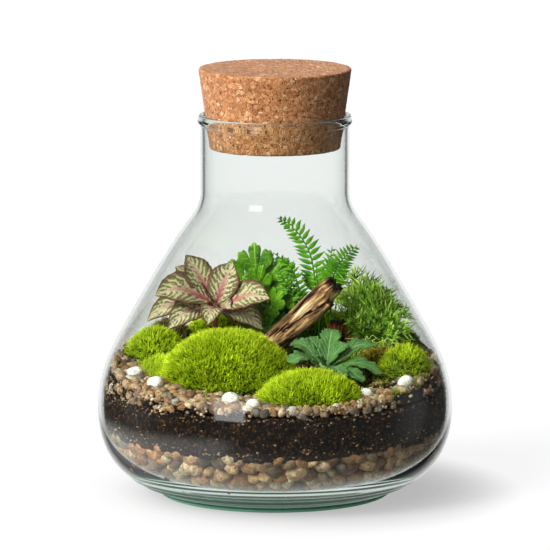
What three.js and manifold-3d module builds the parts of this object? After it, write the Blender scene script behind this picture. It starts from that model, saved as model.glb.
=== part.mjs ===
// A corked glass terrarium: a wide-bellied flask with gravel, soil, moss, driftwood and small plants.
// Millimetres, +Z up. The origin is the middle of the foot, on the surface it stands on.
// -Y is the front of the planting and +X its right side.

import * as THREE from 'three';
import { mergeVertices } from 'three/addons/utils/BufferGeometryUtils.js';
import Module from 'manifold-3d';

const wasm = await Module();
wasm.setup();

// Jar
const BELLY_RADIUS = 100;
const BELLY_HEIGHT = 48.5;
const FOOT_RADIUS = 65.5;
const FOOT_STEP = 3;
const NECK_RADIUS = 41.9;
const NECK_START = 168;
const RIM_HEIGHT = 215;
const LIP_RADIUS = 42.6;
const LIP_DEPTH = 3;
const WALL = 2.2;
const FLOOR_HEIGHT = 8.8;
const FLOOR_RADIUS = 56;
const SECTORS = 32;

// Cork
const CORK_TOP_RADIUS = 43.1;
const CORK_BOTTOM_RADIUS = 36.7;
const CORK_LENGTH = 45;
const CORK_ABOVE_RIM = 26;
const CORK_CHAMFER = 0.7;

// Clearances between pieces that touch on the real object
const GAP = 0.3;
const GLASS_GAP = 0.4;
const SEAT_GAP = 0.5;
const STONE_GAP = 0.8;

// Ground levels
const FRONT_GROUND = 62.5;
const GROUND_RISE = 18;
const GROUND_REACH = 95;
const SIDE_RISE = 5;
const SOIL_AT_GLASS = 59;
const TOP_DRESSING = 4;
const DRAINAGE_LEVEL = 40;
const DRAINAGE_DIP = 4.5;

const colours = {
  glass: 0xdfeee8,
  cork: 0xb98654,
  drainage: 0x9a8468,
  soil: 0x2a1d16,
  gravel: 0xb7a285,
  whitePebble: 0xe9e4d8,
  brightMoss: 0x8fb52a,
  darkMoss: 0x56641f,
  brownMoss: 0x6f6a3a,
  yellowMoss: 0x9a9436,
  driftwood: 0x8a6b4a,
  bark: 0x7d4f2e,
  nerveLeaf: 0x8d8f6a,
  lobedLeaf: 0x4f9a33,
  fern: 0x5fa53a,
  feathery: 0x6aa63c,
  rosette: 0x4d8253,
};

// General helpers

const at = (x, y, z) => new THREE.Vector3(x, y, z);
const mix = (a, b, t) => a + (b - a) * t;

// 0 below the first limit, 1 above the second, and a smooth rise between them
function ease(low, high, value) {
  const t = THREE.MathUtils.clamp((value - low) / (high - low), 0, 1);
  return t * t * (3 - 2 * t);
}

// Repeatable random numbers between two limits
function drawer(seed) {
  let state = seed;
  return (low, high) => {
    state = (state + 0x6d2b79f5) | 0;
    let t = Math.imul(state ^ (state >>> 15), 1 | state);
    t = (t + Math.imul(t ^ (t >>> 7), 61 | t)) ^ t;
    return mix(low, high, ((t ^ (t >>> 14)) >>> 0) / 4294967296);
  };
}

// Six times the volume inside the faces, negative when they point inwards
function signedVolume(position, index) {
  const [a, b, c] = [at(0, 0, 0), at(0, 0, 0), at(0, 0, 0)];
  let sum = 0;
  for (let i = 0; i < index.length; i += 3) {
    a.fromBufferAttribute(position, index[i]);
    b.fromBufferAttribute(position, index[i + 1]);
    c.fromBufferAttribute(position, index[i + 2]);
    sum += a.dot(b.cross(c));
  }
  return sum;
}

// A copy with its shared points merged, no empty faces, and its faces pointing out
function welded(geometry) {
  const plain = geometry.clone();
  plain.deleteAttribute('normal');
  plain.deleteAttribute('uv');
  const merged = mergeVertices(plain, 1e-4);
  const index = [];
  const all = merged.index.array;
  for (let i = 0; i < all.length; i += 3) {
    const [a, b, c] = [all[i], all[i + 1], all[i + 2]];
    if (a !== b && b !== c && c !== a) index.push(a, b, c);
  }
  if (signedVolume(merged.attributes.position, index) < 0) index.reverse();
  merged.setIndex(index);
  return merged;
}

function solidOf(geometry) {
  const closed = welded(geometry);
  return new wasm.Manifold(new wasm.Mesh({
    numProp: 3,
    vertProperties: Float32Array.from(closed.attributes.position.array),
    triVerts: Uint32Array.from(closed.index.array),
  }));
}

function geometryOf(solid) {
  const mesh = solid.getMesh();
  const geometry = new THREE.BufferGeometry();
  geometry.setAttribute('position', new THREE.BufferAttribute(Float32Array.from(mesh.vertProperties), 3));
  geometry.setIndex(Array.from(mesh.triVerts));
  return geometry;
}

const join = (geometries) => wasm.Manifold.union(geometries.map(solidOf));
const without = (solid, cutters) => cutters.reduce((rest, cutter) => rest.subtract(cutter), solid);

// A closed mesh from its corner points and its faces
function closedGeometry(points, faces) {
  const geometry = new THREE.BufferGeometry();
  geometry.setFromPoints(points);
  geometry.setIndex(faces.flat());
  return welded(geometry);
}

// A profile of (radius, height) points turned about the Z axis
function turned(profile, sectors = SECTORS) {
  return welded(new THREE.LatheGeometry(profile, sectors).rotateX(Math.PI / 2));
}

// A rod of even thickness along a smooth line through the points
function rod(points, radius, sides = 5, steps = 5) {
  const section = new THREE.Shape();
  for (let i = 0; i < sides; i++) {
    const angle = (i / sides) * 2 * Math.PI;
    const [u, v] = [radius * Math.cos(angle), radius * Math.sin(angle)];
    if (i === 0) section.moveTo(u, v);
    else section.lineTo(u, v);
  }
  const extrudePath = new THREE.CatmullRomCurve3(points);
  return welded(new THREE.ExtrudeGeometry(section, { extrudePath, steps, bevelEnabled: false }));
}

// Jar: the outer outline is four Bezier curves, and the inner one keeps the wall's thickness above
// the belly and leaves a thick bottom below it

function bezier(start, control1, control2, end, steps) {
  return new THREE.CubicBezierCurve(start, control1, control2, end).getPoints(steps);
}

const flat = (radius, height) => new THREE.Vector2(radius, height);

const belly = flat(BELLY_RADIUS, BELLY_HEIGHT);
const shoulder = flat(82, 101);
const neckBase = flat(46.3, 158.2);
const neckFoot = flat(NECK_RADIUS, NECK_START);

const lowerBelly = bezier(flat(FOOT_RADIUS, FOOT_STEP), flat(88, 9), flat(BELLY_RADIUS, 23.5), belly, 5);
const upperBelly = bezier(belly, flat(BELLY_RADIUS, 68.5), flat(93, 82), shoulder, 3);
const cone = bezier(shoulder, flat(70.4, 121), flat(58.5, 142.2), neckBase, 2);
const neckCurve = bezier(neckBase, flat(43.3, 162.2), flat(NECK_RADIUS, 163), neckFoot, 2);
const upperOutline = [...upperBelly, ...cone.slice(1), ...neckCurve.slice(1), flat(NECK_RADIUS, RIM_HEIGHT)];

// The outline moved inwards by the wall's thickness
function inset(outline, distance) {
  return outline.map((point, i) => {
    const before = outline[Math.max(i - 1, 0)];
    const after = outline[Math.min(i + 1, outline.length - 1)];
    const along = after.clone().sub(before).normalize();
    return flat(point.x - along.y * distance, point.y + along.x * distance);
  });
}

const innerBelly = flat(BELLY_RADIUS - WALL, BELLY_HEIGHT);
const innerCorner = bezier(flat(FLOOR_RADIUS, FLOOR_HEIGHT), flat(79, 9.6), flat(BELLY_RADIUS - WALL, 25),
  innerBelly, 5);
const innerWall = [...innerCorner, ...inset(upperOutline, WALL).slice(1)];

function glassJar() {
  const outer = [
    flat(0, 0),
    flat(FOOT_RADIUS - 1, 0),
    flat(FOOT_RADIUS, 1),
    ...lowerBelly,
    ...upperOutline.slice(1, -1),
    flat(NECK_RADIUS, RIM_HEIGHT - LIP_DEPTH),
    flat(LIP_RADIUS, RIM_HEIGHT - LIP_DEPTH + 1),
    flat(LIP_RADIUS - 0.4, RIM_HEIGHT),
  ];
  const inner = [...innerWall].reverse();
  return solidOf(turned([...outer, ...inner, flat(0, FLOOR_HEIGHT)]));
}

// Radius of the jar's inside at a height
function insideRadius(height) {
  if (height <= innerWall[0].y) return innerWall[0].x;
  const above = innerWall.findIndex((point) => point.y > height);
  const [low, high] = [innerWall[above - 1], innerWall[above]];
  return mix(low.x, high.x, (height - low.y) / (high.y - low.y));
}

function corkStopper() {
  const slope = (CORK_TOP_RADIUS - CORK_BOTTOM_RADIUS) / CORK_LENGTH;
  return solidOf(turned([
    flat(0, 0),
    flat(CORK_BOTTOM_RADIUS - CORK_CHAMFER, 0),
    flat(CORK_BOTTOM_RADIUS + slope * CORK_CHAMFER, CORK_CHAMFER),
    flat(CORK_TOP_RADIUS - slope * CORK_CHAMFER, CORK_LENGTH - CORK_CHAMFER),
    flat(CORK_TOP_RADIUS - CORK_CHAMFER, CORK_LENGTH),
    flat(0, CORK_LENGTH),
  ]));
}

// Ground surfaces, as heights over the plan

const SOIL_RING = 66;
const LAYER_RINGS = [38, SOIL_RING];

// Top of the drainage gravel, lowest at the middle of the front
function drainageTop(x, y) {
  const fromFront = Math.atan2(x, -y);
  const dip = DRAINAGE_DIP * Math.exp(-((fromFront / 0.5) ** 2)) * ease(30, 80, Math.hypot(x, y));
  return DRAINAGE_LEVEL - dip + 0.9 * Math.sin(3 * fromFront + 1) * ease(20, 60, Math.hypot(x, y));
}

// Top of the dressing that the moss and pebbles lie on, rising to the back and the sides
function groundTop(x, y) {
  const back = GROUND_RISE * ease(-GROUND_REACH, GROUND_REACH, y);
  return FRONT_GROUND + back + SIDE_RISE * (x / GROUND_REACH) ** 2;
}

// Top of the soil, which falls to a low, even line where it meets the glass
function soilTop(x, y) {
  const atGlass = SOIL_AT_GLASS + 0.2 * (groundTop(x, y) - FRONT_GROUND);
  const rim = THREE.MathUtils.clamp((Math.hypot(x, y) - SOIL_RING) / (GROUND_REACH - SOIL_RING), 0, 1);
  return mix(groundTop(x, y) - TOP_DRESSING, atGlass, rim);
}

// A round layer between two surfaces, with its edge held back from the glass by `back`. Layers that
// meet share the radii of their rings, so that their faces lie parallel
function layer(bottom, top, back, edgeRows, bottomRings) {
  const points = [];
  const faces = [];
  const reach = (surface, angle) => {
    let radius = BELLY_RADIUS * 0.9;
    for (let pass = 0; pass < 4; pass++) {
      const height = surface(radius * Math.cos(angle), radius * Math.sin(angle));
      radius = insideRadius(height) - back;
    }
    return radius;
  };
  const add = (radius, angle, height) => {
    points.push(at(radius * Math.cos(angle), radius * Math.sin(angle), height));
  };
  const ringStart = (row) => 1 + row * SECTORS;
  const band = (lower, upper, crossed) => {
    for (let i = 0; i < SECTORS; i++) {
      const [a, b] = [lower + i, lower + ((i + 1) % SECTORS)];
      const [c, d] = [upper + ((i + 1) % SECTORS), upper + i];
      faces.push(...(crossed ? [[a, b, d], [b, c, d]] : [[a, b, c], [a, c, d]]));
    }
  };
  const angles = Array.from({ length: SECTORS }, (_, i) => (i / SECTORS) * 2 * Math.PI);

  points.push(at(0, 0, bottom(0, 0)));
  const ringOn = (surface, ring) => {
    for (const angle of angles) {
      const radius = ring ?? reach(surface, angle);
      add(radius, angle, surface(radius * Math.cos(angle), radius * Math.sin(angle)));
    }
  };
  for (const ring of [...bottomRings, null]) ringOn(bottom, ring);
  for (let row = 1; row < edgeRows; row++) {
    for (const angle of angles) {
      const [low, high] = [bottom, top].map((surface) => {
        const radius = reach(surface, angle);
        return surface(radius * Math.cos(angle), radius * Math.sin(angle));
      });
      const height = mix(low, high, row / edgeRows);
      add(insideRadius(height) - back, angle, height);
    }
  }
  for (const ring of [null, ...[...LAYER_RINGS].reverse()]) ringOn(top, ring);
  points.push(at(0, 0, top(0, 0)));

  const bands = bottomRings.length + LAYER_RINGS.length + edgeRows;
  const topBand = bottomRings.length + edgeRows;
  for (let row = 0; row < bands; row++) band(ringStart(row), ringStart(row + 1), row >= topBand);
  const last = ringStart(bands);
  for (let i = 0; i < SECTORS; i++) {
    const next = (i + 1) % SECTORS;
    faces.push([0, 1 + next, 1 + i], [points.length - 1, last + i, last + next]);
  }
  return closedGeometry(points, faces);
}

// Stones

// Rounds of worn stones in a honeycomb: each is a six-sided dome whose rim is sunk between its
// neighbours. `place(angle, rise, sunk)` gives a point on the field, with rise from 0 to 1 over the
// rows and sunk counted down from the stones' crowns. The two open edges are given back for closing
function stoneField({ draw, round, rows, depth, place }) {
  const columns = 2 * round;
  const points = [];
  const faces = [];
  const add = (turn, rise, sunk) => {
    points.push(place((turn / round) * 2 * Math.PI, THREE.MathUtils.clamp(rise, 0, 1), sunk));
    return points.length - 1;
  };
  const pitch = 1 / (rows + 0.2);
  const rowMiddle = (row) => (row + 0.6) * pitch;
  const shiftOf = (row) => (row % 2 ? 0.5 : 0);

  // The zigzag valleys between the rows, level along the two open edges
  const valleys = Array.from({ length: rows + 1 }, (_, line) => Array.from({ length: columns }, (__, i) => {
    const zigzag = rowMiddle(line) - pitch * (i % 2 ? 0.33 : 0.67);
    const rise = line === 0 || line === rows ? line / rows : zigzag + draw(-0.02, 0.02);
    return add(i / 2 + shiftOf(line) + draw(-0.06, 0.06), rise, depth);
  }));
  const valley = (line, i) => valleys[line][(i + 2 * columns) % columns];

  for (let row = 0; row < rows; row++) {
    const above = row % 2 ? 2 : 0;
    for (let i = 0; i < round; i++) {
      const rim = [
        valley(row, 2 * i), valley(row, 2 * i + 1), valley(row + 1, 2 * i + above),
        valley(row + 1, 2 * i + above - 1), valley(row + 1, 2 * i + above - 2), valley(row, 2 * i - 1),
      ];
      const turn = i + shiftOf(row);
      const size = draw(0.56, 0.7);
      const crown = add(turn + draw(-0.08, 0.08), rowMiddle(row) + draw(-0.03, 0.03), draw(0, 0.18) * depth);
      const ring = rim.map((_, corner) => {
        const angle = THREE.MathUtils.degToRad(60 * corner - 90);
        const reach = size * draw(0.9, 1.1);
        const rise = rowMiddle(row) + 0.66 * reach * pitch * Math.sin(angle);
        return add(turn + 0.55 * reach * Math.cos(angle), rise, draw(0.18, 0.4) * depth);
      });
      ring.forEach((corner, k) => {
        const next = (k + 1) % ring.length;
        faces.push([crown, corner, ring[next]], [corner, rim[k], rim[next]], [corner, rim[next], ring[next]]);
      });
    }
  }
  const last = valleys[rows].map((_, i) => valley(rows, rows % 2 ? i - 1 : i));
  return { points, faces, first: valleys[0], last };
}

// Closes an open edge to the middle over rings that each have half the points of the one outside
function closeOver(field, edge, radii, surface, down) {
  const { points, faces } = field;
  const put = (triangles) => faces.push(...triangles.map(([a, b, c]) => (down ? [a, c, b] : [a, b, c])));
  let outer = edge;
  for (const radius of radii) {
    const count = outer.length / 2;
    const inner = Array.from({ length: count }, (_, i) => {
      const angle = (i / count) * 2 * Math.PI;
      const [x, y] = [radius * Math.cos(angle), radius * Math.sin(angle)];
      points.push(at(x, y, surface(x, y)));
      return points.length - 1;
    });
    for (let i = 0; i < count; i++) {
      const [near, middle, far] = [outer[2 * i], outer[2 * i + 1], outer[(2 * i + 2) % outer.length]];
      const [here, next] = [inner[i], inner[(i + 1) % count]];
      put([[near, middle, here], [middle, next, here], [middle, far, next]]);
    }
    outer = inner;
  }
  points.push(at(0, 0, surface(0, 0)));
  const middle = points.length - 1;
  put(outer.map((point, i) => [middle, point, outer[(i + 1) % outer.length]]));
}

const STONES_ROUND = 26;
const STONE_ROWS = 4;
const STONE_DEPTH = 3.8;

// Packed pebbles that follow the glass from the jar's floor up to the soil
function drainageGravel() {
  const wall = new THREE.Path(innerCorner);
  const base = FLOOR_HEIGHT + GAP;

  // How far along the wall its height reaches the top of the layer
  const reachOf = (angle) => {
    let [low, high] = [0, 1];
    for (let pass = 0; pass < 20; pass++) {
      const half = (low + high) / 2;
      const spot = wall.getPointAt(half);
      if (spot.y < drainageTop(spot.x * Math.cos(angle), spot.x * Math.sin(angle))) low = half;
      else high = half;
    }
    return low;
  };
  const place = (angle, rise, sunk) => {
    const along = mix(0.03, reachOf(angle), rise);
    const spot = wall.getPointAt(along);
    const tangent = wall.getTangentAt(along);
    const radius = spot.x - tangent.y * (sunk + 2 * GLASS_GAP);
    const height = Math.max(spot.y + tangent.x * (sunk + 2 * GLASS_GAP), base);
    return at(radius * Math.cos(angle), radius * Math.sin(angle), height);
  };
  const field = stoneField({ draw: drawer(11), round: STONES_ROUND, rows: STONE_ROWS, depth: STONE_DEPTH, place });
  closeOver(field, field.first, [36], () => base, true);
  closeOver(field, field.last, [SOIL_RING], drainageTop, false);
  return solidOf(closedGeometry(field.points, field.faces));
}

const GRAVEL_ROUND = 32;
const GRAVEL_ROWS = 3;
const GRAVEL_DEPTH = 2.6;
const GRAVEL_INNER = 56;

// The top dressing: small stones from the soil's edge up the glass and in over the ground, round a
// flat middle that the planting covers
function topGravel(cutters) {
  const place = (angle, rise, sunk) => {
    const [c, s] = [Math.cos(angle), Math.sin(angle)];
    let rim = GROUND_REACH;
    for (let pass = 0; pass < 4; pass++) rim = insideRadius(groundTop(rim * c, rim * s)) - 2 * GLASS_GAP;
    const top = groundTop(rim * c, rim * s);
    const bottom = soilTop(rim * c, rim * s) + STONE_GAP;
    const upWall = top - bottom;
    const along = rise * (upWall + rim - GRAVEL_INNER);
    if (along < upWall) {
      const height = bottom + along;
      const radius = insideRadius(height) - 2 * GLASS_GAP - sunk;
      return at(radius * c, radius * s, height);
    }
    const radius = rim - (along - upWall);
    const slope = Math.min(1, (along - upWall) / 3);
    const inward = radius - sunk * (1 - slope);
    return at(inward * c, inward * s, groundTop(inward * c, inward * s) - sunk * mix(0.4, 1, slope));
  };
  const field = stoneField({
    draw: drawer(41), round: GRAVEL_ROUND, rows: GRAVEL_ROWS, depth: GRAVEL_DEPTH, place,
  });
  closeOver(field, field.first, [SOIL_RING, 38], (x, y) => soilTop(x, y) + STONE_GAP, true);
  closeOver(field, field.last, [30], (x, y) => groundTop(x, y) - 0.5, false);
  return without(solidOf(closedGeometry(field.points, field.faces)), cutters);
}

function pottingSoil(cutters) {
  const bed = layer((x, y) => drainageTop(x, y) + STONE_GAP, soilTop, GLASS_GAP, 3, [SOIL_RING]);
  return without(solidOf(bed), cutters);
}

// Loose white pebbles in the dressing: the middle of each and its half sizes
const whitePebbles = [
  { x: -66, y: -45, half: [4.4, 3.6, 3] },
  { x: -24, y: -72, half: [4.8, 4.2, 3.4] },
  { x: -78, y: -28, half: [3.8, 3.2, 2.8] },
  { x: 50, y: -62, half: [3.8, 3, 2.6] },
  { x: 72, y: -45, half: [4.2, 3.4, 3] },
  { x: -12, y: -82, half: [3.6, 3, 2.6] },
];

const PEBBLE_SUNK = 0.65;

// A worn stone: a twenty-sided ball with uneven corners, stretched to its half sizes and sunk into the
// dressing by a share of its half height. `grow` widens it all over, for the seat that it lies in
function whitePebble({ x, y, half }, index, grow = 0) {
  const draw = drawer(51 + index);
  const stone = welded(new THREE.IcosahedronGeometry(1, 0));
  const position = stone.attributes.position;
  for (let i = 0; i < position.count; i++) {
    const uneven = draw(0.86, 1.08);
    position.setXYZ(i, position.getX(i) * uneven, position.getY(i) * uneven, position.getZ(i) * uneven);
  }
  stone.scale(...half.map((size) => size + grow)).rotateZ(draw(0, Math.PI));
  return solidOf(stone.translate(x, y, groundTop(x, y) + (1 - PEBBLE_SUNK) * half[2]));
}

// Wood

// A log between two ends: ridged along its length, thinner towards the broken tips, and flattened by
// `flatness`. `grow` widens it all over, for the seats cut in its neighbours
function log(start, end, radii, { ridge, seed, flatness = 0.85, grow = 0 }) {
  const sides = 12;
  const draw = drawer(seed);
  const axis = end.clone().sub(start).normalize();
  const across = at(0, 0, 1).cross(axis).normalize();
  const over = axis.clone().cross(across);
  const uneven = Array.from({ length: sides }, () => draw(1 - ridge, 1 + ridge));
  const points = [start.clone().addScaledVector(axis, -grow)];
  const faces = [];
  radii.forEach((radius, row) => {
    const along = row / (radii.length - 1);
    for (let i = 0; i < sides; i++) {
      const angle = (i / sides) * 2 * Math.PI + 0.35 * along;
      const reach = radius * uneven[i] * draw(0.94, 1.06) + grow;
      const centre = start.clone().lerp(end, mix(0.02, 0.98, along));
      centre.addScaledVector(axis, grow * (2 * along - 1));
      centre.addScaledVector(across, reach * Math.cos(angle));
      points.push(centre.addScaledVector(over, flatness * reach * Math.sin(angle)));
    }
  });
  points.push(end.clone().addScaledVector(axis, grow));
  const last = points.length - 1;
  for (let row = 0; row < radii.length - 1; row++) {
    for (let i = 0; i < sides; i++) {
      const [a, b] = [1 + row * sides + i, 1 + row * sides + ((i + 1) % sides)];
      faces.push([a, b, b + sides], [a, b + sides, a + sides]);
    }
  }
  for (let i = 0; i < sides; i++) {
    const next = (i + 1) % sides;
    faces.push([0, 1 + next, 1 + i], [last, last - sides + i, last - sides + next]);
  }
  return closedGeometry(points, faces);
}

const WOOD_FOOT = at(-18, 21, 64);
const WOOD_TIP = at(36, 8, 119);
const WOOD_RADII = [6, 8, 8.6, 8.2, 7.6, 7.4, 7.8, 7.2, 5.6];
const SPLINTER_FOOT = at(0, 11, 82);
const SPLINTER_TIP = at(30, 4, 103);
const SPLINTER_RADII = [2.4, 4.2, 4.4, 4, 3.2, 1.8];

// The branch and the strip that has split away along its lower side
function driftwood(grow = 0) {
  return join([
    log(WOOD_FOOT, WOOD_TIP, WOOD_RADII, { ridge: 0.13, seed: 21, grow }),
    log(SPLINTER_FOOT, SPLINTER_TIP, SPLINTER_RADII, { ridge: 0.18, seed: 22, grow }),
  ]);
}

const BARK_FOOT = at(31, 20, 70);
const BARK_TIP = at(36, 16, 95);
const BARK_RADII = [6.5, 8.4, 8.8, 8, 6.2];

function barkChunk(grow = 0) {
  return join([log(BARK_FOOT, BARK_TIP, BARK_RADII, { ridge: 0.2, seed: 23, flatness: 0.55, grow })]);
}

// Moss

// One entry for each cushion: the middle of its foot, its half sizes, its height and the rings of its
// lattice, which set how many blades it has
const cushions = {
  moss_cushion_large: { x: -26, y: -22, halfX: 37, halfY: 32, height: 22.5, rings: 11, seed: 31 },
  moss_cushion_front: { x: 19, y: -64, halfX: 27, halfY: 20, height: 12.5, rings: 8, seed: 32 },
  moss_cushion_left: { x: -67, y: 12, halfX: 16, halfY: 19, height: 12, rings: 6, seed: 33 },
  moss_patch_back_left: { x: -61, y: 43, halfX: 12, halfY: 10, height: 9, rings: 5, seed: 34 },
  moss_patch_right: { x: 70, y: 22, halfX: 12, halfY: 14, height: 10, rings: 5, seed: 35 },
  moss_patch_right_front: { x: 72, y: -20, halfX: 13, halfY: 15, height: 11, rings: 5, seed: 36 },
  moss_patch_yellow: { x: 57, y: 1, halfX: 8, halfY: 8, height: 6, rings: 4, seed: 37 },
  moss_cushion_back_left: { x: -28, y: 61, halfX: 22, halfY: 13, height: 10, rings: 6, seed: 38 },
  moss_cushion_back_right: { x: 29, y: 65, halfX: 22, halfY: 11, height: 9, rings: 6, seed: 39 },
};

// Height of a cushion's bare surface above its foot, at a share of the way out to its edge
function cushionRise(cushion, reach, angle) {
  const lumps = 1 + 0.06 * Math.sin(3 * angle + cushion.seed) * reach;
  return cushion.height * Math.max(0, 1 - reach ** MOSS_ROUNDNESS) * lumps;
}

const MOSS_ROUNDNESS = 2.3;
const BLADE_STAND = 4.4;
const BLADE_LEAN = 1.3;

// A cushion as one closed relief. Ring k of its triangular lattice has 6k points, and every third
// point of the lattice is drawn out into the tip of a blade, leaning outwards with the dome
function mossCushion(cushion) {
  const draw = drawer(cushion.seed);
  const { x, y, halfX, halfY, rings } = cushion;
  const steps = [[1, 0], [0, 1], [-1, 1], [-1, 0], [0, -1], [1, -1]];
  const points = [];
  const faces = [];
  const foot = (px, py) => groundTop(px, py) + SEAT_GAP;

  const isTip = (ring, side, offset) => {
    const [corner, next] = [steps[side], steps[(side + 1) % 6]];
    const q = ring * corner[0] + offset * (next[0] - corner[0]);
    const r = ring * corner[1] + offset * (next[1] - corner[1]);
    return (q - r) % 3 === 0;
  };
  const ringStart = [0];
  for (let ring = 0; ring <= rings; ring++) {
    const count = Math.max(1, 6 * ring);
    for (let i = 0; i < count; i++) {
      const tip = ring < rings && isTip(ring, Math.floor(i / Math.max(1, ring)), i % Math.max(1, ring));
      const loose = ring > 0 && ring < rings ? 0.25 : 0;
      const reach = (ring + draw(-loose, loose)) / rings;
      const angle = ((i + draw(-loose, loose)) / count) * 2 * Math.PI;
      const px = x + reach * halfX * Math.cos(angle);
      const py = y + reach * halfY * Math.sin(angle);
      const lean = BLADE_LEAN * reach ** 2;
      const direction = at(Math.cos(angle) * lean, Math.sin(angle) * lean, 1).normalize();
      const point = at(px, py, foot(px, py) + cushionRise(cushion, reach, angle));
      points.push(tip ? point.addScaledVector(direction, BLADE_STAND * draw(0.75, 1.15)) : point);
    }
    ringStart.push(ringStart[ring] + count);
  }
  const onRing = (ring, i) => ringStart[ring] + (ring ? (i + 6 * ring) % (6 * ring) : 0);
  for (let ring = 0; ring < rings; ring++) {
    for (let side = 0; side < 6; side++) {
      for (let k = 0; k <= ring; k++) {
        const outer = side * (ring + 1) + k;
        const inner = side * ring + k;
        faces.push([onRing(ring + 1, outer), onRing(ring + 1, outer + 1), onRing(ring, inner)]);
        if (k < ring) faces.push([onRing(ring, inner), onRing(ring + 1, outer + 1), onRing(ring, inner + 1)]);
      }
    }
  }
  points.push(at(x, y, foot(x, y)));
  for (let i = 0; i < 6 * rings; i++) {
    faces.push([points.length - 1, onRing(rings, i + 1), onRing(rings, i)]);
  }
  return solidOf(closedGeometry(points, faces));
}

// Leaves

// A leaf, frond or spray as one thin blade. `rib` is the line it follows and `side` points across it.
// Each row crosses the rib: `along` is its place from 0 to 1, `half` its half width and `sweep` how far
// its edges lead the rib. `lift` raises the edges, or lets them hang when it is negative
function blade(rib, side, rows, { thickness = 0.8, lift = 0.2 } = {}) {
  const curve = new THREE.CatmullRomCurve3(rib);
  const points = [];
  const faces = [];
  for (const { along, half, sweep = 0 } of rows) {
    const middle = curve.getPointAt(along);
    const forward = curve.getTangentAt(along);
    const across = side.clone().addScaledVector(forward, -side.dot(forward)).normalize();
    const up = across.clone().cross(forward).normalize();
    for (const face of [0.5, -0.5]) {
      const shift = up.clone().multiplyScalar(face * thickness);
      for (const hand of [-1, 0, 1]) {
        const point = middle.clone().add(shift).addScaledVector(across, hand * half);
        point.addScaledVector(forward, Math.abs(hand) * sweep);
        points.push(point.addScaledVector(up, Math.abs(hand) * lift * half));
      }
    }
  }
  const TOP = 0;
  const UNDER = 3;
  for (let row = 0; row < rows.length - 1; row++) {
    const [here, next] = [row * 6, row * 6 + 6];
    for (const [face, flip] of [[TOP, false], [UNDER, true]]) {
      for (const [outer, inner] of [[0, 1], [2, 1]]) {
        const mirrored = flip !== (outer === 2);
        const quad = [[here + face + outer, here + face + inner, next + face + inner],
          [here + face + outer, next + face + inner, next + face + outer]];
        faces.push(...quad.map(([a, b, c]) => (mirrored ? [a, c, b] : [a, b, c])));
      }
    }
    for (const [edge, flip] of [[0, true], [2, false]]) {
      const quad = [[here + edge, next + edge, next + UNDER + edge],
        [here + edge, next + UNDER + edge, here + UNDER + edge]];
      faces.push(...quad.map(([a, b, c]) => (flip ? [a, c, b] : [a, b, c])).map(([a, b, c]) => [a, c, b]));
    }
  }
  const end = (rows.length - 1) * 6;
  for (const [first, flip] of [[0, false], [end, true]]) {
    for (const left of [0, 1]) {
      const quad = [[first + left, first + UNDER + left, first + UNDER + left + 1],
        [first + left, first + UNDER + left + 1, first + left + 1]];
      faces.push(...quad.map(([a, b, c]) => (flip ? [a, c, b] : [a, b, c])));
    }
  }
  return closedGeometry(points, faces);
}

// Rows of an oval leaf with a drawn-out tip
function ovalRows(halfWidth, count = 5) {
  return Array.from({ length: count + 1 }, (_, i) => {
    const along = i / count;
    const oval = Math.sin(Math.PI * along ** 0.8) ** 0.75;
    return { along, half: Math.max(0.5, halfWidth * oval) };
  });
}

// A leaf and its stalk as one blade: the stalk runs from the crown to the leaf's base
function stalkedLeaf(crown, place, side, rows, options) {
  const under = crown.clone().lerp(place.base, 0.5).add(at(0, 0, -1.5));
  const middle = place.base.clone().lerp(place.tip, 0.55).add(at(0, 0, place.arch));
  const rib = [crown, under, place.base, middle, place.tip];
  const steps = rib.slice(1).map((point, i) => point.distanceTo(rib[i]));
  const total = steps.reduce((sum, step) => sum + step, 0);
  const stalk = (steps[0] + steps[1]) / total;
  const placed = rows.map((row) => ({ ...row, along: mix(stalk, 1, row.along) }));
  return blade(rib, side, [{ along: 0, half: 0.8 }, { along: 0.6 * stalk, half: 0.7 }, ...placed], options);
}

// Rows of a leaf with lobes or teeth: the outline swings between a tooth and a notch
function toothedRows(halfWidth, teeth, notch, lead) {
  const rows = [{ along: 0, half: 0.6 }];
  for (let i = 0; i < teeth; i++) {
    const spacing = 0.9 / teeth;
    const along = 0.06 + i * spacing;
    const oval = Math.sin(Math.PI * (0.12 + (0.8 * (i + 0.6)) / teeth)) ** 0.7;
    rows.push({ along: along + 0.45 * spacing, half: halfWidth * oval, sweep: lead });
    rows.push({ along: along + spacing, half: Math.max(0.6, halfWidth * oval * notch), sweep: 0 });
  }
  rows.push({ along: 1, half: 0.4 });
  return rows;
}

// Rows of a frond whose leaflets are cut to the rib, longest low down and shorter to the tip
function frondRows(longest, pairs, bare) {
  const rows = [{ along: 0, half: 0.6 }];
  for (let i = 0; i < pairs; i++) {
    const spacing = (0.97 - bare) / pairs;
    const along = bare + i * spacing;
    const length = longest * Math.sin(Math.PI * mix(0.3, 0.94, i / (pairs - 1))) ** 0.8;
    rows.push({ along, half: 0.6 });
    rows.push({ along: along + 0.55 * spacing, half: Math.max(1, length), sweep: 0.35 * length });
  }
  rows.push({ along: 1, half: 0.4 });
  return rows;
}

// Plants: each has a root that stands in a plain hole in the soil
const roots = {
  nerve_plant: { x: -34, y: 20, radius: 1.9 },
  lobed_leaf_plant: { x: -8, y: 42, radius: 1.9 },
  fern_frond_1: { x: 24, y: 46, radius: 1.2 },
  fern_frond_2: { x: 32, y: 41, radius: 1.2 },
  fern_frond_3: { x: 19, y: 39, radius: 1.2 },
  fern_frond_4: { x: 33, y: 50, radius: 1.2 },
  fern_frond_5: { x: 16, y: 50, radius: 1.2 },
  feathery_plant: { x: 52, y: 21, radius: 1.9 },
  toothed_rosette: { x: 28, y: -30, radius: 1.9 },
};
const ROOT_DEPTH = 12;
const HOLE_SIDES = 6;

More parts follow.
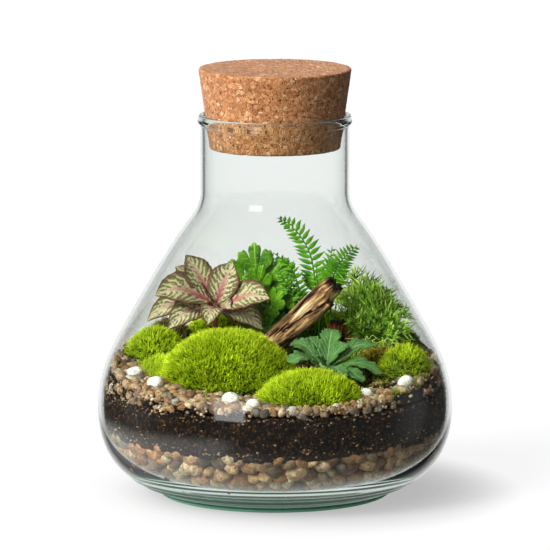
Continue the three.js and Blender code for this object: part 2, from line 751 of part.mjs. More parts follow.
// The lowest and the surface point of a root
const rootFoot = ({ x, y }) => at(x, y, groundTop(x, y) - TOP_DRESSING - ROOT_DEPTH);
const rootTop = ({ x, y }) => at(x, y, groundTop(x, y));

// The hole that a root stands in
function rootHole(root) {
  const depth = ROOT_DEPTH + TOP_DRESSING + GAP;
  const radius = (root.radius + GAP) / Math.cos(Math.PI / HOLE_SIDES);
  const hole = new THREE.CylinderGeometry(radius, radius, depth + 10, HOLE_SIDES);
  hole.rotateX(Math.PI / 2);
  return solidOf(hole.translate(root.x, root.y, groundTop(root.x, root.y) - depth + (depth + 10) / 2));
}

// Leaf places: base, tip, half width and how far the rib arches
const leaf = (base, tip, half, arch) => ({ base, tip, half, arch });

// The way across a leaf that faces the front and the sky
function leafSide({ base, tip }) {
  const along = tip.clone().sub(base).normalize();
  return along.clone().cross(at(0, -0.75, 0.66)).normalize();
}

const NERVE_CROWN = at(-34, 17, 100);
const nerveLeaves = [
  leaf(at(-38, 17, 113), at(-51, 19, 132), 7.5, 1),
  leaf(at(-45, 20, 112), at(-57, 22, 125), 6, 2),
  leaf(at(-39, 13, 110), at(-68, 6, 111), 9.5, 5),
  leaf(at(-33, 15, 107), at(-24, 17, 128), 8.5, 1),
  leaf(at(-27, 12, 105), at(-3, 3, 109), 8.5, 4),
  leaf(at(-33, 10, 104), at(-38, -2, 95), 6, 4),
  leaf(at(-40, 13, 102), at(-60, 2, 92), 7.5, 5),
  leaf(at(-46, 18, 104), at(-73, 14, 95), 7, 6),
  leaf(at(-28, 14, 100), at(-7, 11, 90), 7, 5),
  leaf(at(-43, 23, 106), at(-61, 34, 104), 8, 5),
  leaf(at(-37, 26, 106), at(-42, 46, 107), 8, 5),
];

function nervePlant() {
  const root = roots.nerve_plant;
  const parts = [rod([rootFoot(root), rootTop(root), NERVE_CROWN, at(-34, 17, 104)], root.radius, 5, 4)];
  for (const place of nerveLeaves) {
    parts.push(stalkedLeaf(NERVE_CROWN, place, leafSide(place), ovalRows(place.half), { lift: 0.22 }));
  }
  return join(parts);
}

const LOBED_CROWN = at(-9, 40, 92);
const lobedLeaves = [
  leaf(at(-11, 39, 116), at(-12, 37, 137), 8.5, 1),
  leaf(at(-17, 39, 112), at(-33, 36, 124), 7.5, 3),
  leaf(at(-17, 36, 106), at(-28, 33, 113), 6, 3),
  leaf(at(-5, 40, 113), at(5, 39, 128), 7, 1),
  leaf(at(-3, 38, 107), at(9, 33, 115), 6, 2),
  leaf(at(-9, 34, 104), at(-10, 26, 114), 6, 1),
  leaf(at(-14, 45, 110), at(-24, 58, 116), 7, 3),
  leaf(at(-6, 46, 108), at(-4, 62, 111), 7, 3),
];

function lobedLeafPlant() {
  const root = roots.lobed_leaf_plant;
  const parts = [rod([rootFoot(root), rootTop(root), LOBED_CROWN, at(-9, 40, 96)], root.radius, 5, 4)];
  for (const place of lobedLeaves) {
    parts.push(stalkedLeaf(LOBED_CROWN, place, leafSide(place), toothedRows(place.half, 3, 0.5, 2), { lift: 0.1 }));
  }
  return join(parts);
}

// Fern fronds: the points their ribs pass, their longest leaflet and their pairs of leaflets
const fronds = {
  fern_frond_1: { through: [at(23, 44, 113), at(20, 43, 129), at(12, 42, 142), at(1, 41, 149)], leaflet: 9, pairs: 10 },
  fern_frond_2: { through: [at(32, 38, 112), at(37, 32, 125), at(47, 23, 137)], leaflet: 8, pairs: 8 },
  fern_frond_3: { through: [at(14, 36, 109), at(9, 34, 122), at(-1, 32, 131)], leaflet: 6.5, pairs: 8 },
  fern_frond_4: { through: [at(36, 52, 104), at(38, 50, 116), at(37, 42, 126)], leaflet: 7.5, pairs: 8 },
  fern_frond_5: { through: [at(12, 54, 104), at(6, 55, 118), at(-4, 51, 127)], leaflet: 7.5, pairs: 8 },
};

function fernFrond(name) {
  const { through, leaflet, pairs } = fronds[name];
  const root = roots[name];
  const low = rootTop(root).lerp(through[0], 0.8);
  const stalk = rod([rootFoot(root), rootTop(root), low, through[0]], root.radius, 4, 4);
  const rows = frondRows(leaflet, pairs, 0.03);
  return join([stalk, blade([low, ...through], at(0.9, -0.35, 0.2), rows, { thickness: 0.9, lift: -0.25 })]);
}

// Needle sprays of the feathery plant: the tip of each and its longest needle
const FEATHER_CROWN = at(52, 20, 80);
const sprays = [
  { tip: at(45, 23, 122), needle: 6 },
  { tip: at(54, 19, 118), needle: 6 },
  { tip: at(62, 14, 113), needle: 6 },
  { tip: at(69, 9, 107), needle: 5.5 },
  { tip: at(75, 4, 102), needle: 5 },
  { tip: at(76, -4, 93), needle: 5 },
  { tip: at(60, 38, 110), needle: 6 },
];

function featheryPlant() {
  const root = roots.feathery_plant;
  const parts = [rod([rootFoot(root), rootTop(root), FEATHER_CROWN], root.radius, 6, 3)];
  for (const { tip, needle } of sprays) {
    const lowest = FEATHER_CROWN.clone().add(at(0, 0, -3));
    const lead = tip.clone().sub(FEATHER_CROWN);
    const bend = FEATHER_CROWN.clone().addScaledVector(lead, 0.45).add(at(0, 0, 0.12 * lead.length()));
    const side = lead.clone().cross(at(0, -1, 0.25)).normalize();
    const rows = frondRows(needle, 6, 0.42);
    parts.push(blade([lowest, bend, tip], side, rows, { thickness: 0.9, lift: -0.15 }));
  }
  return join(parts);
}

const ROSETTE_CROWN = at(28, -30, 74);
const rosetteLeaves = [
  leaf(at(25, -28, 78), at(10, -20, 88), 6.5, 3),
  leaf(at(25, -31, 76), at(8, -38, 80), 6.5, 4),
  leaf(at(29, -27, 78), at(32, -18, 95), 6.5, 2),
  leaf(at(31, -29, 77), at(56, -20, 86), 7, 4),
  leaf(at(31, -31, 75), at(59, -36, 74), 6.5, 5),
  leaf(at(29, -33, 76), at(35, -49, 79), 5.5, 3),
];

function toothedRosette() {
  const root = roots.toothed_rosette;
  const parts = [rod([rootFoot(root), rootTop(root), at(28, -30, 77)], root.radius, 5, 3)];
  for (const place of rosetteLeaves) {
    const side = place.tip.clone().sub(place.base).cross(at(0, -0.3, 1)).normalize();
    parts.push(stalkedLeaf(ROSETTE_CROWN, place, side, toothedRows(place.half, 3, 0.62, 2), { lift: 0.15 }));
  }
  return join(parts);
}

// Putting it together

function piece(name, solid, color, roughness, extra = {}) {
  const material = new THREE.MeshStandardMaterial({ color, roughness, metalness: 0, ...extra });
  const mesh = new THREE.Mesh(geometryOf(solid), material);
  mesh.name = name;
  return mesh;
}

const vessel = new THREE.Group();
vessel.add(piece('glass_jar', glassJar(), colours.glass, 0.05, { transparent: true, opacity: 0.3 }));
const cork = piece('cork_stopper', corkStopper(), colours.cork, 0.85);
cork.position.z = RIM_HEIGHT + CORK_ABOVE_RIM - CORK_LENGTH;
vessel.add(cork);

const woodSeats = [driftwood(GAP), barkChunk(GAP)];
const groundCutters = [...woodSeats, ...Object.values(roots).map(rootHole)];

const ground = new THREE.Group();
ground.add(piece('drainage_gravel', drainageGravel(), colours.drainage, 0.8));
ground.add(piece('potting_soil', pottingSoil(groundCutters), colours.soil, 0.95));
const pebbleSeats = whitePebbles.map((stone, i) => whitePebble(stone, i, 1.2 * GAP));
ground.add(piece('top_gravel', topGravel([...groundCutters, ...pebbleSeats]), colours.gravel, 0.8));
whitePebbles.forEach((stone, i) => {
  ground.add(piece(`white_pebble_${i + 1}`, whitePebble(stone, i), colours.whitePebble, 0.6));
});

const mossColours = {
  moss_patch_back_left: colours.brownMoss,
  moss_patch_right: colours.darkMoss,
  moss_patch_yellow: colours.yellowMoss,
};

const planting = new THREE.Group();
for (const [name, cushion] of Object.entries(cushions)) {
  const moss = without(mossCushion(cushion), woodSeats);
  planting.add(piece(name, moss, mossColours[name] ?? colours.brightMoss, 0.9));
}
planting.add(piece('driftwood', driftwood(), colours.driftwood, 0.85));
planting.add(piece('bark_chunk', barkChunk(), colours.bark, 0.9));
planting.add(piece('nerve_plant', nervePlant(), colours.nerveLeaf, 0.55));
planting.add(piece('lobed_leaf_plant', lobedLeafPlant(), colours.lobedLeaf, 0.5));
for (const name of Object.keys(fronds)) planting.add(piece(name, fernFrond(name), colours.fern, 0.55));
planting.add(piece('feathery_plant', featheryPlant(), colours.feathery, 0.6));
planting.add(piece('toothed_rosette', toothedRosette(), colours.rosette, 0.55));

const terrarium = new THREE.Group();
terrarium.add(vessel, ground, planting);

export default terrarium;
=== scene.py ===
# %% [markdown]
# # A corked glass terrarium
#
# The frame holds a glass flask, its cork, three layers of ground, moss, driftwood and small plants.
# Here each piece is made again in fine detail around that frame, from formulas alone.

import bpy
import numpy as np
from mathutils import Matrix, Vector


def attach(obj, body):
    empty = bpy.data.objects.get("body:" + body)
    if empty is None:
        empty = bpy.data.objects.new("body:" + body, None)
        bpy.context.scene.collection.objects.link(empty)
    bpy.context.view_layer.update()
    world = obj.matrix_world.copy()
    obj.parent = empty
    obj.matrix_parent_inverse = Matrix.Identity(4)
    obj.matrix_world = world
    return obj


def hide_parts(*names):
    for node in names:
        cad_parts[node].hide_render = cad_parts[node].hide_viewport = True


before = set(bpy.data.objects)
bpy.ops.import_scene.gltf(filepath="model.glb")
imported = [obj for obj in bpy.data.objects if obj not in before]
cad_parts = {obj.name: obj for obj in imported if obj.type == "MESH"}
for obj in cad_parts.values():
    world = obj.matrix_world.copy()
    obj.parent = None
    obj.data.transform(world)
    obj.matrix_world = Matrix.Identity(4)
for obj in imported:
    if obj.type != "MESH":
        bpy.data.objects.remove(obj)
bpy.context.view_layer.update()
print("nodes in the frame:", len(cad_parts))

# %% [markdown]
# ## Camera
#
# A long lens stands 3 m off and a little above the jar, so that its sides look parallel and the ground
# inside looks like a flat ellipse. The lens follows from a scale measured on the photograph: how many of
# its pixels one metre covers at the jar.

# %% Camera
PHOTO_WIDTH = 550
PIXELS_PER_METRE = 1775
camera_place = Vector((0, -3.1, 0.627))
camera_aim = Vector((0, 0, 0.1235))

camera = bpy.data.objects.new("camera", bpy.data.cameras.new("camera"))
bpy.context.collection.objects.link(camera)
camera.location = camera_place
camera.rotation_euler = (camera_aim - camera_place).to_track_quat("-Z", "Y").to_euler()
distance = (camera_aim - camera_place).length
camera.data.lens = camera.data.sensor_width * PIXELS_PER_METRE * distance / PHOTO_WIDTH
bpy.context.scene.camera = camera
bpy.context.scene.view_settings.view_transform = "Standard"
print("lens in mm:", round(camera.data.lens))


# %% [markdown]
# ## Helpers
#
# A shape is a handful of whole arrays: its points in millimetres, its triangles, and for the finish a
# map position or a tone for each point.

# %% Colours and nodes
def colour(code):
    """sRGB hex to linear RGBA: each channel c becomes ((c + 0.055) / 1.055) to the power 2.4."""
    channels = np.array([int(code[i : i + 2], 16) for i in (1, 3, 5)]) / 255
    linear = np.where(channels < 0.04045, channels / 12.92, ((channels + 0.055) / 1.055) ** 2.4)
    return (*linear.tolist(), 1.0)


def add(tree, kind, inputs=None, stops=None, **fields):
    """Adds one node. Fields are its own settings, stops fill a ramp, and each input takes a value, a
    socket, or a whole node, which stands for its first output."""
    made = tree.nodes.new(kind)
    for name, value in fields.items():
        setattr(made, name, value)
    for name, value in (inputs or {}).items():
        if isinstance(value, bpy.types.Node):
            value = value.outputs[0]
        if isinstance(value, bpy.types.NodeSocket):
            tree.links.new(value, made.inputs[name])
        else:
            made.inputs[name].default_value = value
    if stops:
        elements = made.color_ramp.elements
        while len(elements) < len(stops):
            elements.new(0.5)
        for element, (position, code) in zip(elements, stops):
            element.position = position
            element.color = colour(code)
    return made


def material(name, build):
    """A new material whose surface is what build(tree) returns."""
    made = bpy.data.materials.new(name)
    made.use_nodes = True
    made.node_tree.nodes.clear()
    surface = build(made.node_tree)
    add(made.node_tree, "ShaderNodeOutputMaterial", {"Surface": surface})
    return made


print("middle grey as linear light:", colour("#808080"))

# %% Numbers that repeat
UP = np.array([0, 0, 1.0])
LATTICE_STRIDES = np.array([73856093, 19349663, 83492791])
SCRAMBLE = 1274126177
SEED_SHIFT = 17.3


def chance(seed):
    """Repeatable random numbers."""
    return np.random.default_rng(seed)


def noise(points, size, seed=0):
    """Smooth noise from -1 to 1: random values at the corners of a lattice of `size` mm, blended."""
    scaled = np.asarray(points) / size + SEED_SHIFT * seed
    cell = np.floor(scaled).astype(np.int64)
    blend = scaled - cell
    blend = blend * blend * (3 - 2 * blend)
    total = np.zeros(scaled.shape[:-1])
    for corner in np.ndindex(2, 2, 2):
        key = ((cell + corner) * LATTICE_STRIDES).sum(-1)
        key = ((key ^ (key >> 13)) * SCRAMBLE) & 0x7FFFFFFF
        value = ((key ^ (key >> 15)) & 0xFFFF) / 32767.5 - 1
        total += value * np.prod(np.where(np.array(corner) == 1, blend, 1 - blend), axis=-1)
    return total


def ease(low, high, value):
    """0 below low, 1 above high and 3t^2 - 2t^3 between them."""
    t = np.clip((value - low) / (high - low), 0, 1)
    return t * t * (3 - 2 * t)


def unit(vectors):
    """Vectors divided by their lengths."""
    return vectors / np.maximum(np.linalg.norm(vectors, axis=-1, keepdims=True), 1e-9)


def gather(*coordinates):
    """Points from their coordinates, or map positions from u and v."""
    return np.stack(np.broadcast_arrays(*coordinates), axis=-1)


def full_turn(sides):
    """Equal steps of angle round a full turn."""
    return np.arange(sides) / sides * 2 * np.pi


def plan(reach, angle):
    """x and y at a reach and an angle round the upright axis: r cos a and r sin a."""
    return reach * np.cos(angle), reach * np.sin(angle)


def from_axis(points):
    """Distance of points from the upright axis."""
    return np.hypot(points[..., 0], points[..., 1])


def outward(points):
    """Level directions away from the upright axis."""
    return unit(points * [1, 1, 0])


def smooth_line(points, count):
    """Catmull-Rom line: between two points it is a cubic that also looks at the two beyond them."""
    points = np.asarray(points, float)
    padded = np.vstack([2 * points[0] - points[1], points, 2 * points[-1] - points[-2]])
    along = np.linspace(0, len(points) - 1 - 1e-9, count)
    start = along.astype(int)
    t = (along - start)[:, None]
    a, b, c, d = (padded[start + k] for k in range(4))
    return b + 0.5 * t * (c - a + t * (2 * a - 5 * b + 4 * c - d + t * (3 * (b - c) + d - a)))


print("noise at three places:", noise(np.eye(3), 0.7).round(2))


# %% Surfaces
def halves(quads):
    """Each four-sided face as two triangles."""
    return np.concatenate([quads[:, [0, 1, 2]], quads[:, [0, 2, 3]]])


def thin_solid(grid, thickness):
    """A closed sheet: a grid moved half its thickness both ways along its normals, and rimmed."""
    normal = unit(np.cross(np.gradient(grid, axis=0), np.gradient(grid, axis=1)))
    points = np.concatenate([(grid + side * normal * thickness / 2).reshape(-1, 3) for side in (1, -1)])
    index = np.arange(grid.shape[0] * grid.shape[1]).reshape(grid.shape[:2])
    corners = [index[:-1, :-1], index[1:, :-1], index[1:, 1:], index[:-1, 1:]]
    top = np.stack([corner.ravel() for corner in corners], axis=1)
    ring = np.concatenate([index[0, :-1], index[:-1, -1], index[-1, :0:-1], index[:0:-1, 0]])
    after = np.roll(ring, -1)
    rim = np.stack([ring, after, after + index.size, ring + index.size], axis=1)
    return points, halves(np.concatenate([top, top[:, ::-1] + index.size, rim]))


def closed_tube(grid):
    """Rows of points round a line, joined into a skin, with a middle point closing each end."""
    rows, sides = grid.shape[:2]
    index = np.arange(rows * sides).reshape(rows, sides)
    beside = np.roll(index, -1, axis=1)
    corners = [index[:-1], beside[:-1], beside[1:], index[1:]]
    quads = np.stack([corner.ravel() for corner in corners], axis=1)
    points = np.concatenate([grid.reshape(-1, 3), [grid[0].mean(axis=0), grid[-1].mean(axis=0)]])
    low, high = np.full(sides, rows * sides), np.full(sides, rows * sides + 1)
    low_cap = np.stack([low, beside[0], index[0]], axis=1)
    high_cap = np.stack([high, index[-1], beside[-1]], axis=1)
    return points, np.concatenate([halves(quads), low_cap, high_cap])


def turned(profile, sides):
    """A profile of (radius, height) swept round the upright axis: (r cos a, r sin a, h)."""
    profile = np.asarray(profile, float)
    return gather(*plan(profile[:, :1], full_turn(sides)), profile[:, 1:])


def rod(line, radii, sides=6):
    """A round rod: circles of the given radii set square to a line."""
    line = np.asarray(line, float)
    ahead = unit(np.gradient(line, axis=0))
    across = unit(np.cross(ahead, [0.3, 0.9, 0.1]))
    over = np.cross(ahead, across)
    angle = full_turn(sides)
    reach = np.broadcast_to(radii, len(line))[:, None, None]
    circle = across[:, None] * np.cos(angle)[:, None] + over[:, None] * np.sin(angle)[:, None]
    return closed_tube(line[:, None] + reach * circle)


print("triangles of a rod with three rings:", len(rod(np.eye(3), 0.1)[1]))


# %% Many copies and one piece
def copies(points, triangles, places, axes):
    """Copies of a small shape: each is the shape's points times its own three axes, plus its place."""
    spread = places[:, None] + np.einsum("vk,nkj->nvj", points, axes)
    shift = np.arange(len(places))[:, None, None] * len(points)
    return spread.reshape(-1, 3), (triangles[None] + shift).reshape(-1, 3)


def painted(shape, value):
    """A shape with the same tone, or the same map position, at each of its points."""
    points, triangles = shape
    return points, triangles, np.repeat([value], len(points), axis=0)


def together(parts):
    """Several (points, triangles, extra) joined: each part's triangles count on from the last."""
    shift = np.cumsum([0] + [len(part[0]) for part in parts[:-1]])
    triangles = np.concatenate([part[1] + first for part, first in zip(parts, shift)])
    points, extra = (np.concatenate([part[k] for part in parts]) for k in (0, 2))
    return points, triangles, extra


def piece(name, shape, finish, nodes=(), carries=None, smooth=True):
    """Puts a shape into a mesh in metres, gives it its finish, and ties it to the frame.

    A third array in the shape is a "tone" or a "chart" for the finish, as `carries` says."""
    points, triangles, *extra = shape
    mesh = bpy.data.meshes.new(name)
    mesh.vertices.add(len(points))
    mesh.vertices.foreach_set("co", (np.asarray(points) / 1000).astype(np.float32).ravel())
    mesh.loops.add(triangles.size)
    mesh.loops.foreach_set("vertex_index", triangles.astype(np.int32).ravel())
    mesh.polygons.add(len(triangles))
    mesh.polygons.foreach_set("loop_start", np.arange(0, triangles.size, 3, dtype=np.int32))
    mesh.update(calc_edges=True)
    mesh.polygons.foreach_set("use_smooth", np.full(len(triangles), smooth))
    if carries == "chart":
        layer = mesh.uv_layers.new(name="chart")
        layer.uv.foreach_set("vector", extra[0][triangles.ravel()].astype(np.float32).ravel())
    if carries == "tone":
        tone = mesh.attributes.new("tone", "FLOAT", "POINT")
        tone.data.foreach_set("value", extra[0].astype(np.float32))
    made = bpy.data.objects.new(name, mesh)
    bpy.context.collection.objects.link(made)
    mesh.materials.append(finish)
    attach(made, "root")
    if nodes:
        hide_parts(*nodes)
    print(name, len(triangles), "triangles")


print("map positions of a painted rod:", painted(rod(np.eye(3), 0.1), [0.5, 0.0])[2].shape)

# %% [markdown]
# ## The flask
#
# A blown flask of soda-lime glass has a thin wall, a bottom four times as thick with shallow pressed
# steps above the foot, a gentle flare into the neck and a small fire-polished bead that runs out to its
# rim at a slant. A lathe shape thickened by a modifier would be simpler. One closed profile is used
# instead, because light bends right only when the inside is a true skin at the wall's distance.

# %% Outline of the flask
BELLY_RADIUS, BELLY_HEIGHT = 100, 48.5
WALL = 2.2
FLOOR_HEIGHT = 8.8
RIM_HEIGHT = 215
NECK_RADIUS = 41.9
FOOT_TOP = (65.5, 3)
STEP_HEIGHT, STEP_DEPTH, STEP_LEAN = 3.2, 0.42, (0.45, -0.9)
STEPS_FULL, STEPS_END = 9, 14
FLASK_SIDES = 128


def bezier(start, first, second, end, steps):
    """Cubic Bezier curve: the four points weighted by (1-t)^3, 3t(1-t)^2, 3t^2(1-t) and t^3."""
    t = np.linspace(0, 1, steps + 1)[:, None]
    start, first, second, end = map(np.array, (start, first, second, end))
    near = (1 - t) ** 3 * start + 3 * t * (1 - t) ** 2 * first
    return near + 3 * t**2 * (1 - t) * second + t**3 * end


# Every point is (radius, height) in mm
belly, shoulder = (BELLY_RADIUS, BELLY_HEIGHT), (82, 101)
neck_base, neck_foot = (46.3, 158.2), (NECK_RADIUS, 171.4)
lower_belly = bezier(FOOT_TOP, (88, 9), (BELLY_RADIUS, 23.5), belly, 70)
above_foot = lower_belly[:, 1] - FOOT_TOP[1]
fading = ease(STEPS_END, STEPS_FULL, lower_belly[:, 1])
step_wave = STEP_DEPTH * np.sin(2 * np.pi * above_foot / STEP_HEIGHT) * fading
lower_belly = lower_belly + step_wave[:, None] * STEP_LEAN
upper_belly = bezier(belly, (BELLY_RADIUS, 68.5), (93, 82), shoulder, 16)
cone = bezier(shoulder, (70.4, 121), (58.5, 142.2), neck_base, 12)
neck_curve = bezier(neck_base, (43.4, 162.1), (NECK_RADIUS, 166.6), neck_foot, 12)
neck = [(NECK_RADIUS, height) for height in (173, 176, 180, 187, 196, 204, 208)]
wall_line = np.concatenate([upper_belly, cone[1:], neck_curve[1:], neck])
ahead = unit(np.gradient(wall_line, axis=0))
inner_wall = wall_line + WALL * np.stack([-ahead[:, 1], ahead[:, 0]], axis=1)
inner_belly = (BELLY_RADIUS - WALL, BELLY_HEIGHT)
inner_corner = bezier((58, FLOOR_HEIGHT), (82.5, 9.6), (BELLY_RADIUS - WALL, 24), inner_belly, 30)
inside = np.concatenate([inner_corner, inner_wall[1:]])


def inside_radius(height):
    """Radius of the flask's inside at a height."""
    return np.interp(height, inside[:, 1], inside[:, 0])


print("inside radius of the neck in mm:", round(inside_radius(200), 1))

# %% Glass
PAINTED_BANDS_TOP = 0.014
GREEN_PER_METRE = 20.0


def clear_glass(tree):
    """Blown soda-lime glass: a bright clear view with dark edges. Pale and deep green bands in the thick
    foot are painted light and shade, standing in for light bent through its steps. Shadow and diffuse rays
    pass straight on, so that daylight reaches the plants."""
    glass = add(tree, "ShaderNodeBsdfPrincipled", {
        "Base Color": colour("#ffffff"), "Roughness": 0.0, "IOR": 1.5, "Transmission Weight": 1.0})
    place = add(tree, "ShaderNodeTexCoord").outputs["Object"]
    up = add(tree, "ShaderNodeSeparateXYZ", {0: place}).outputs["Z"]
    height = add(tree, "ShaderNodeMapRange", {"Value": up, "From Max": PAINTED_BANDS_TOP})
    # Painted light and shade: bright and dark green bands by height stand in for light bent through the
    # foot's steps
    rings = add(tree, "ShaderNodeValToRGB", {"Fac": height}, stops=[
        (0.0, "#4c8f76"), (0.06, "#a4ecca"), (0.16, "#27453b"), (0.27, "#a8efce"), (0.4, "#3f7a66"),
        (0.62, "#3b6f5d"), (0.72, "#9be2c2"), (0.84, "#5d9580")])
    depth = add(tree, "ShaderNodeMapRange", {
        "Value": height, "From Min": 0.55, "From Max": 0.95, "To Min": 0.5, "To Max": 0.0})
    tinted = add(tree, "ShaderNodeBsdfTranslucent", {"Color": rings})
    lit = add(tree, "ShaderNodeBsdfDiffuse", {"Color": rings})
    thick = add(tree, "ShaderNodeMixShader", {0: 0.6, 1: tinted, 2: lit})
    footed = add(tree, "ShaderNodeMixShader", {0: depth, 1: glass, 2: thick})
    clear = add(tree, "ShaderNodeBsdfTransparent", {"Color": colour("#fcfefd")})
    ray = add(tree, "ShaderNodeLightPath").outputs
    straight = add(tree, "ShaderNodeMath", {0: ray["Is Shadow Ray"], 1: ray["Is Diffuse Ray"]},
                   operation="MAXIMUM")
    return add(tree, "ShaderNodeMixShader", {0: straight, 1: footed, 2: clear})


soda_lime_glass = material("soda_lime_glass_blown", clear_glass)
depth_tint = add(soda_lime_glass.node_tree, "ShaderNodeVolumeAbsorption", {
    "Color": colour("#62c69c"), "Density": GREEN_PER_METRE})
glass_output = soda_lime_glass.node_tree.nodes["Material Output"]
soda_lime_glass.node_tree.links.new(depth_tint.outputs[0], glass_output.inputs["Volume"])

foot = [(20, 0), (50, 0), (63.4, 0), (64.8, 0.2), (65.5, 0.8), (65.5, 1.5), (64.9, 2.0), (64.5, 2.4),
        (64.8, 2.8)]
bead = [(42.0, 208.9), (42.7, 209.3), (43.2, 209.9), (43.45, 210.8), (43.4, 211.3), (43.2, 212.5),
        (43.0, 213.7), (42.5, 214.6), (41.5, RIM_HEIGHT), (40.6, 214.8), (40, 214.2), (39.7, 213.2)]
flask_line = np.concatenate([foot, lower_belly, wall_line[1:], bead, inside[::-1], [(30, FLOOR_HEIGHT)]])
piece("glass_flask", closed_tube(turned(flask_line, FLASK_SIDES)), soda_lime_glass, ["glass_jar"])

# %% [markdown]
# ## The cork
#
# Stoppers of this size are cut from pressed cork: granules of 2 to 4 mm in every shade of tan, glued
# under heat. Modelled granules would be thousands of faces for little relief, so the skin is pushed in
# by noise where the pits are, and the colour comes from cells as large as the granules.

# %% Pressed cork
GRANULES_PER_METRE = 460.0
CORK_MIDDLE = np.array([0, 0, 218.0])
CORK_SIDES = 220
CORK_BOTTOM, CORK_TOP = 196, 241
CORK_FOOT, CORK_HEAD = (36.8, 196.8), (43.0, 240.2)
PIT_SIZE, PIT_DEPTH, GRAIN_SIZE, GRAIN_DEPTH = 2.6, 0.9, 0.9, 0.12


def pressed_cork(tree):
    """Pressed cork granules: a warm mosaic, each cell its own tan, with darker joints and brown specks,
    dull and dry, and a faint sheen that lightens it towards its edges."""
    place = add(tree, "ShaderNodeTexCoord").outputs["Object"]
    wobble = add(tree, "ShaderNodeTexNoise", {"Vector": place, "Scale": 420.0, "Detail": 2.0})
    shifted = add(tree, "ShaderNodeVectorMath", {0: wobble.outputs["Color"], 1: (0.0016,) * 3, 2: place},
                  operation="MULTIPLY_ADD")
    cells = add(tree, "ShaderNodeTexVoronoi", {"Vector": shifted, "Scale": GRANULES_PER_METRE})
    shade = add(tree, "ShaderNodeSeparateColor", {"Color": cells.outputs["Color"]})
    tan = add(tree, "ShaderNodeValToRGB", {"Fac": shade}, stops=[
        (0.0, "#a2673d"), (0.35, "#ba7d4f"), (0.7, "#c98c5d"), (0.93, "#d19a6a"), (1.0, "#e0b688")])
    joints = add(tree, "ShaderNodeTexVoronoi", {"Vector": shifted, "Scale": GRANULES_PER_METRE},
                 feature="DISTANCE_TO_EDGE")
    joint = add(tree, "ShaderNodeMapRange", {
        "Value": joints.outputs["Distance"], "From Max": 0.07, "To Min": 0.55, "To Max": 0.0})
    joined = add(tree, "ShaderNodeMix", {"Factor": joint, 6: tan, 7: colour("#8a5429")}, data_type="RGBA")
    specks = add(tree, "ShaderNodeTexNoise", {"Vector": place, "Scale": 620.0, "Detail": 2.0})
    speck = add(tree, "ShaderNodeMapRange", {
        "Value": specks, "From Min": 0.6, "From Max": 0.68, "To Min": 0.0, "To Max": 0.9})
    specked = add(tree, "ShaderNodeMix", {"Factor": speck, 6: joined.outputs[2], 7: colour("#5b3115")},
                  data_type="RGBA")
    grain = add(tree, "ShaderNodeTexNoise", {"Vector": place, "Scale": 1500.0, "Detail": 4.0})
    hollow = add(tree, "ShaderNodeMath", {0: speck, 1: joint}, operation="ADD")
    relief = add(tree, "ShaderNodeMath", {0: grain, 1: hollow}, operation="SUBTRACT")
    bump = add(tree, "ShaderNodeBump", {"Height": relief, "Strength": 0.8, "Distance": 0.0005})
    return add(tree, "ShaderNodeBsdfPrincipled", {
        "Base Color": specked.outputs[2], "Roughness": 0.85, "Sheen Weight": 0.16,
        "Sheen Roughness": 0.4, "Normal": bump})


# Both flat faces are rings a few millimetres apart, and their edges are slightly rounded
cork_bottom = [(36.0 * k / 14, CORK_BOTTOM) for k in range(1, 15)] + [(36.5, 196.3)]
cork_side = np.linspace(CORK_FOOT, CORK_HEAD, 46)
cork_top = [(42.7, 240.8)] + [(42.3 * k / 18, CORK_TOP) for k in range(18, 0, -1)]
cork_skin = turned(np.concatenate([cork_bottom, cork_side, cork_top]), CORK_SIDES)
pits = np.clip(noise(cork_skin, PIT_SIZE, 1) - 0.35, 0, 1) * PIT_DEPTH
pits = pits + GRAIN_DEPTH * (noise(cork_skin, GRAIN_SIZE, 2) + 1)
near_edge = ease(42.2, 43.0, from_axis(cork_skin))
rough_edge = 0.5 * ease(0.1, 0.8, noise(cork_skin, 1.8, 3)) * near_edge
cork_skin = cork_skin + unit(CORK_MIDDLE - cork_skin) * (pits + rough_edge)[..., None]
piece("cork_stopper_pressed", closed_tube(cork_skin), material("pressed_cork_granules", pressed_cork),
      ["cork_stopper"])

# %% [markdown]
# ## The layers of ground
#
# A terrarium is filled in layers: pebbles for drainage, soil, then a dressing of gravel. Each boundary
# could be sculpted, but a height field over the plan, in mm, lets the layers share it without a gap.
# The drainage pebbles sag at the front, the soil meets the glass in a low line, and the dressing rises
# to the back and to both sides.

# %% Height fields
# Lengths in mm
GLASS_REACH = 95
DRAINAGE_HEIGHT, FRONT_DIP, SWING = 40, 4.5, 0.9
GROUND_HEIGHT, BACK_RISE, SIDE_RISE = 62.5, 18, 5
DRESSING_DEPTH, SOIL_LINE, BEND_START = 4, 59, 66


def drainage_top(x, y):
    """Level, with a dip at the middle of the front and a slow swing round the wall."""
    angle, reach = np.arctan2(x, -y), np.hypot(x, y)
    dip = FRONT_DIP * np.exp(-((angle / 0.5) ** 2)) * ease(30, 80, reach)
    return DRAINAGE_HEIGHT - dip + SWING * np.sin(3 * angle + 1) * ease(20, 60, reach)


def ground_top(x, y):
    """Lowest at the front, with an eased rise to the back and a square one to the sides."""
    return GROUND_HEIGHT + BACK_RISE * ease(-GLASS_REACH, GLASS_REACH, y) + SIDE_RISE * (x / GLASS_REACH) ** 2


def soil_top(x, y):
    """Under the dressing, bending down to a low line where it meets the glass."""
    rim = np.clip((np.hypot(x, y) - BEND_START) / (GLASS_REACH - BEND_START), 0, 1)
    ground = ground_top(x, y)
    return (1 - rim) * (ground - DRESSING_DEPTH) + rim * (SOIL_LINE + 0.2 * (ground - GROUND_HEIGHT))


def wall_point(angle, height, back):
    """The point at a height on the flask's inside, held back from the glass."""
    return gather(*plan(inside_radius(height) - back, angle), height)


def edge_height(surface, angle):
    """Height at which a surface meets the glass, found by stepping to it a few times."""
    radius = np.full_like(angle, GLASS_REACH)
    for _ in range(6):
        radius = inside_radius(surface(*plan(radius, angle)))
    return surface(*plan(radius, angle))


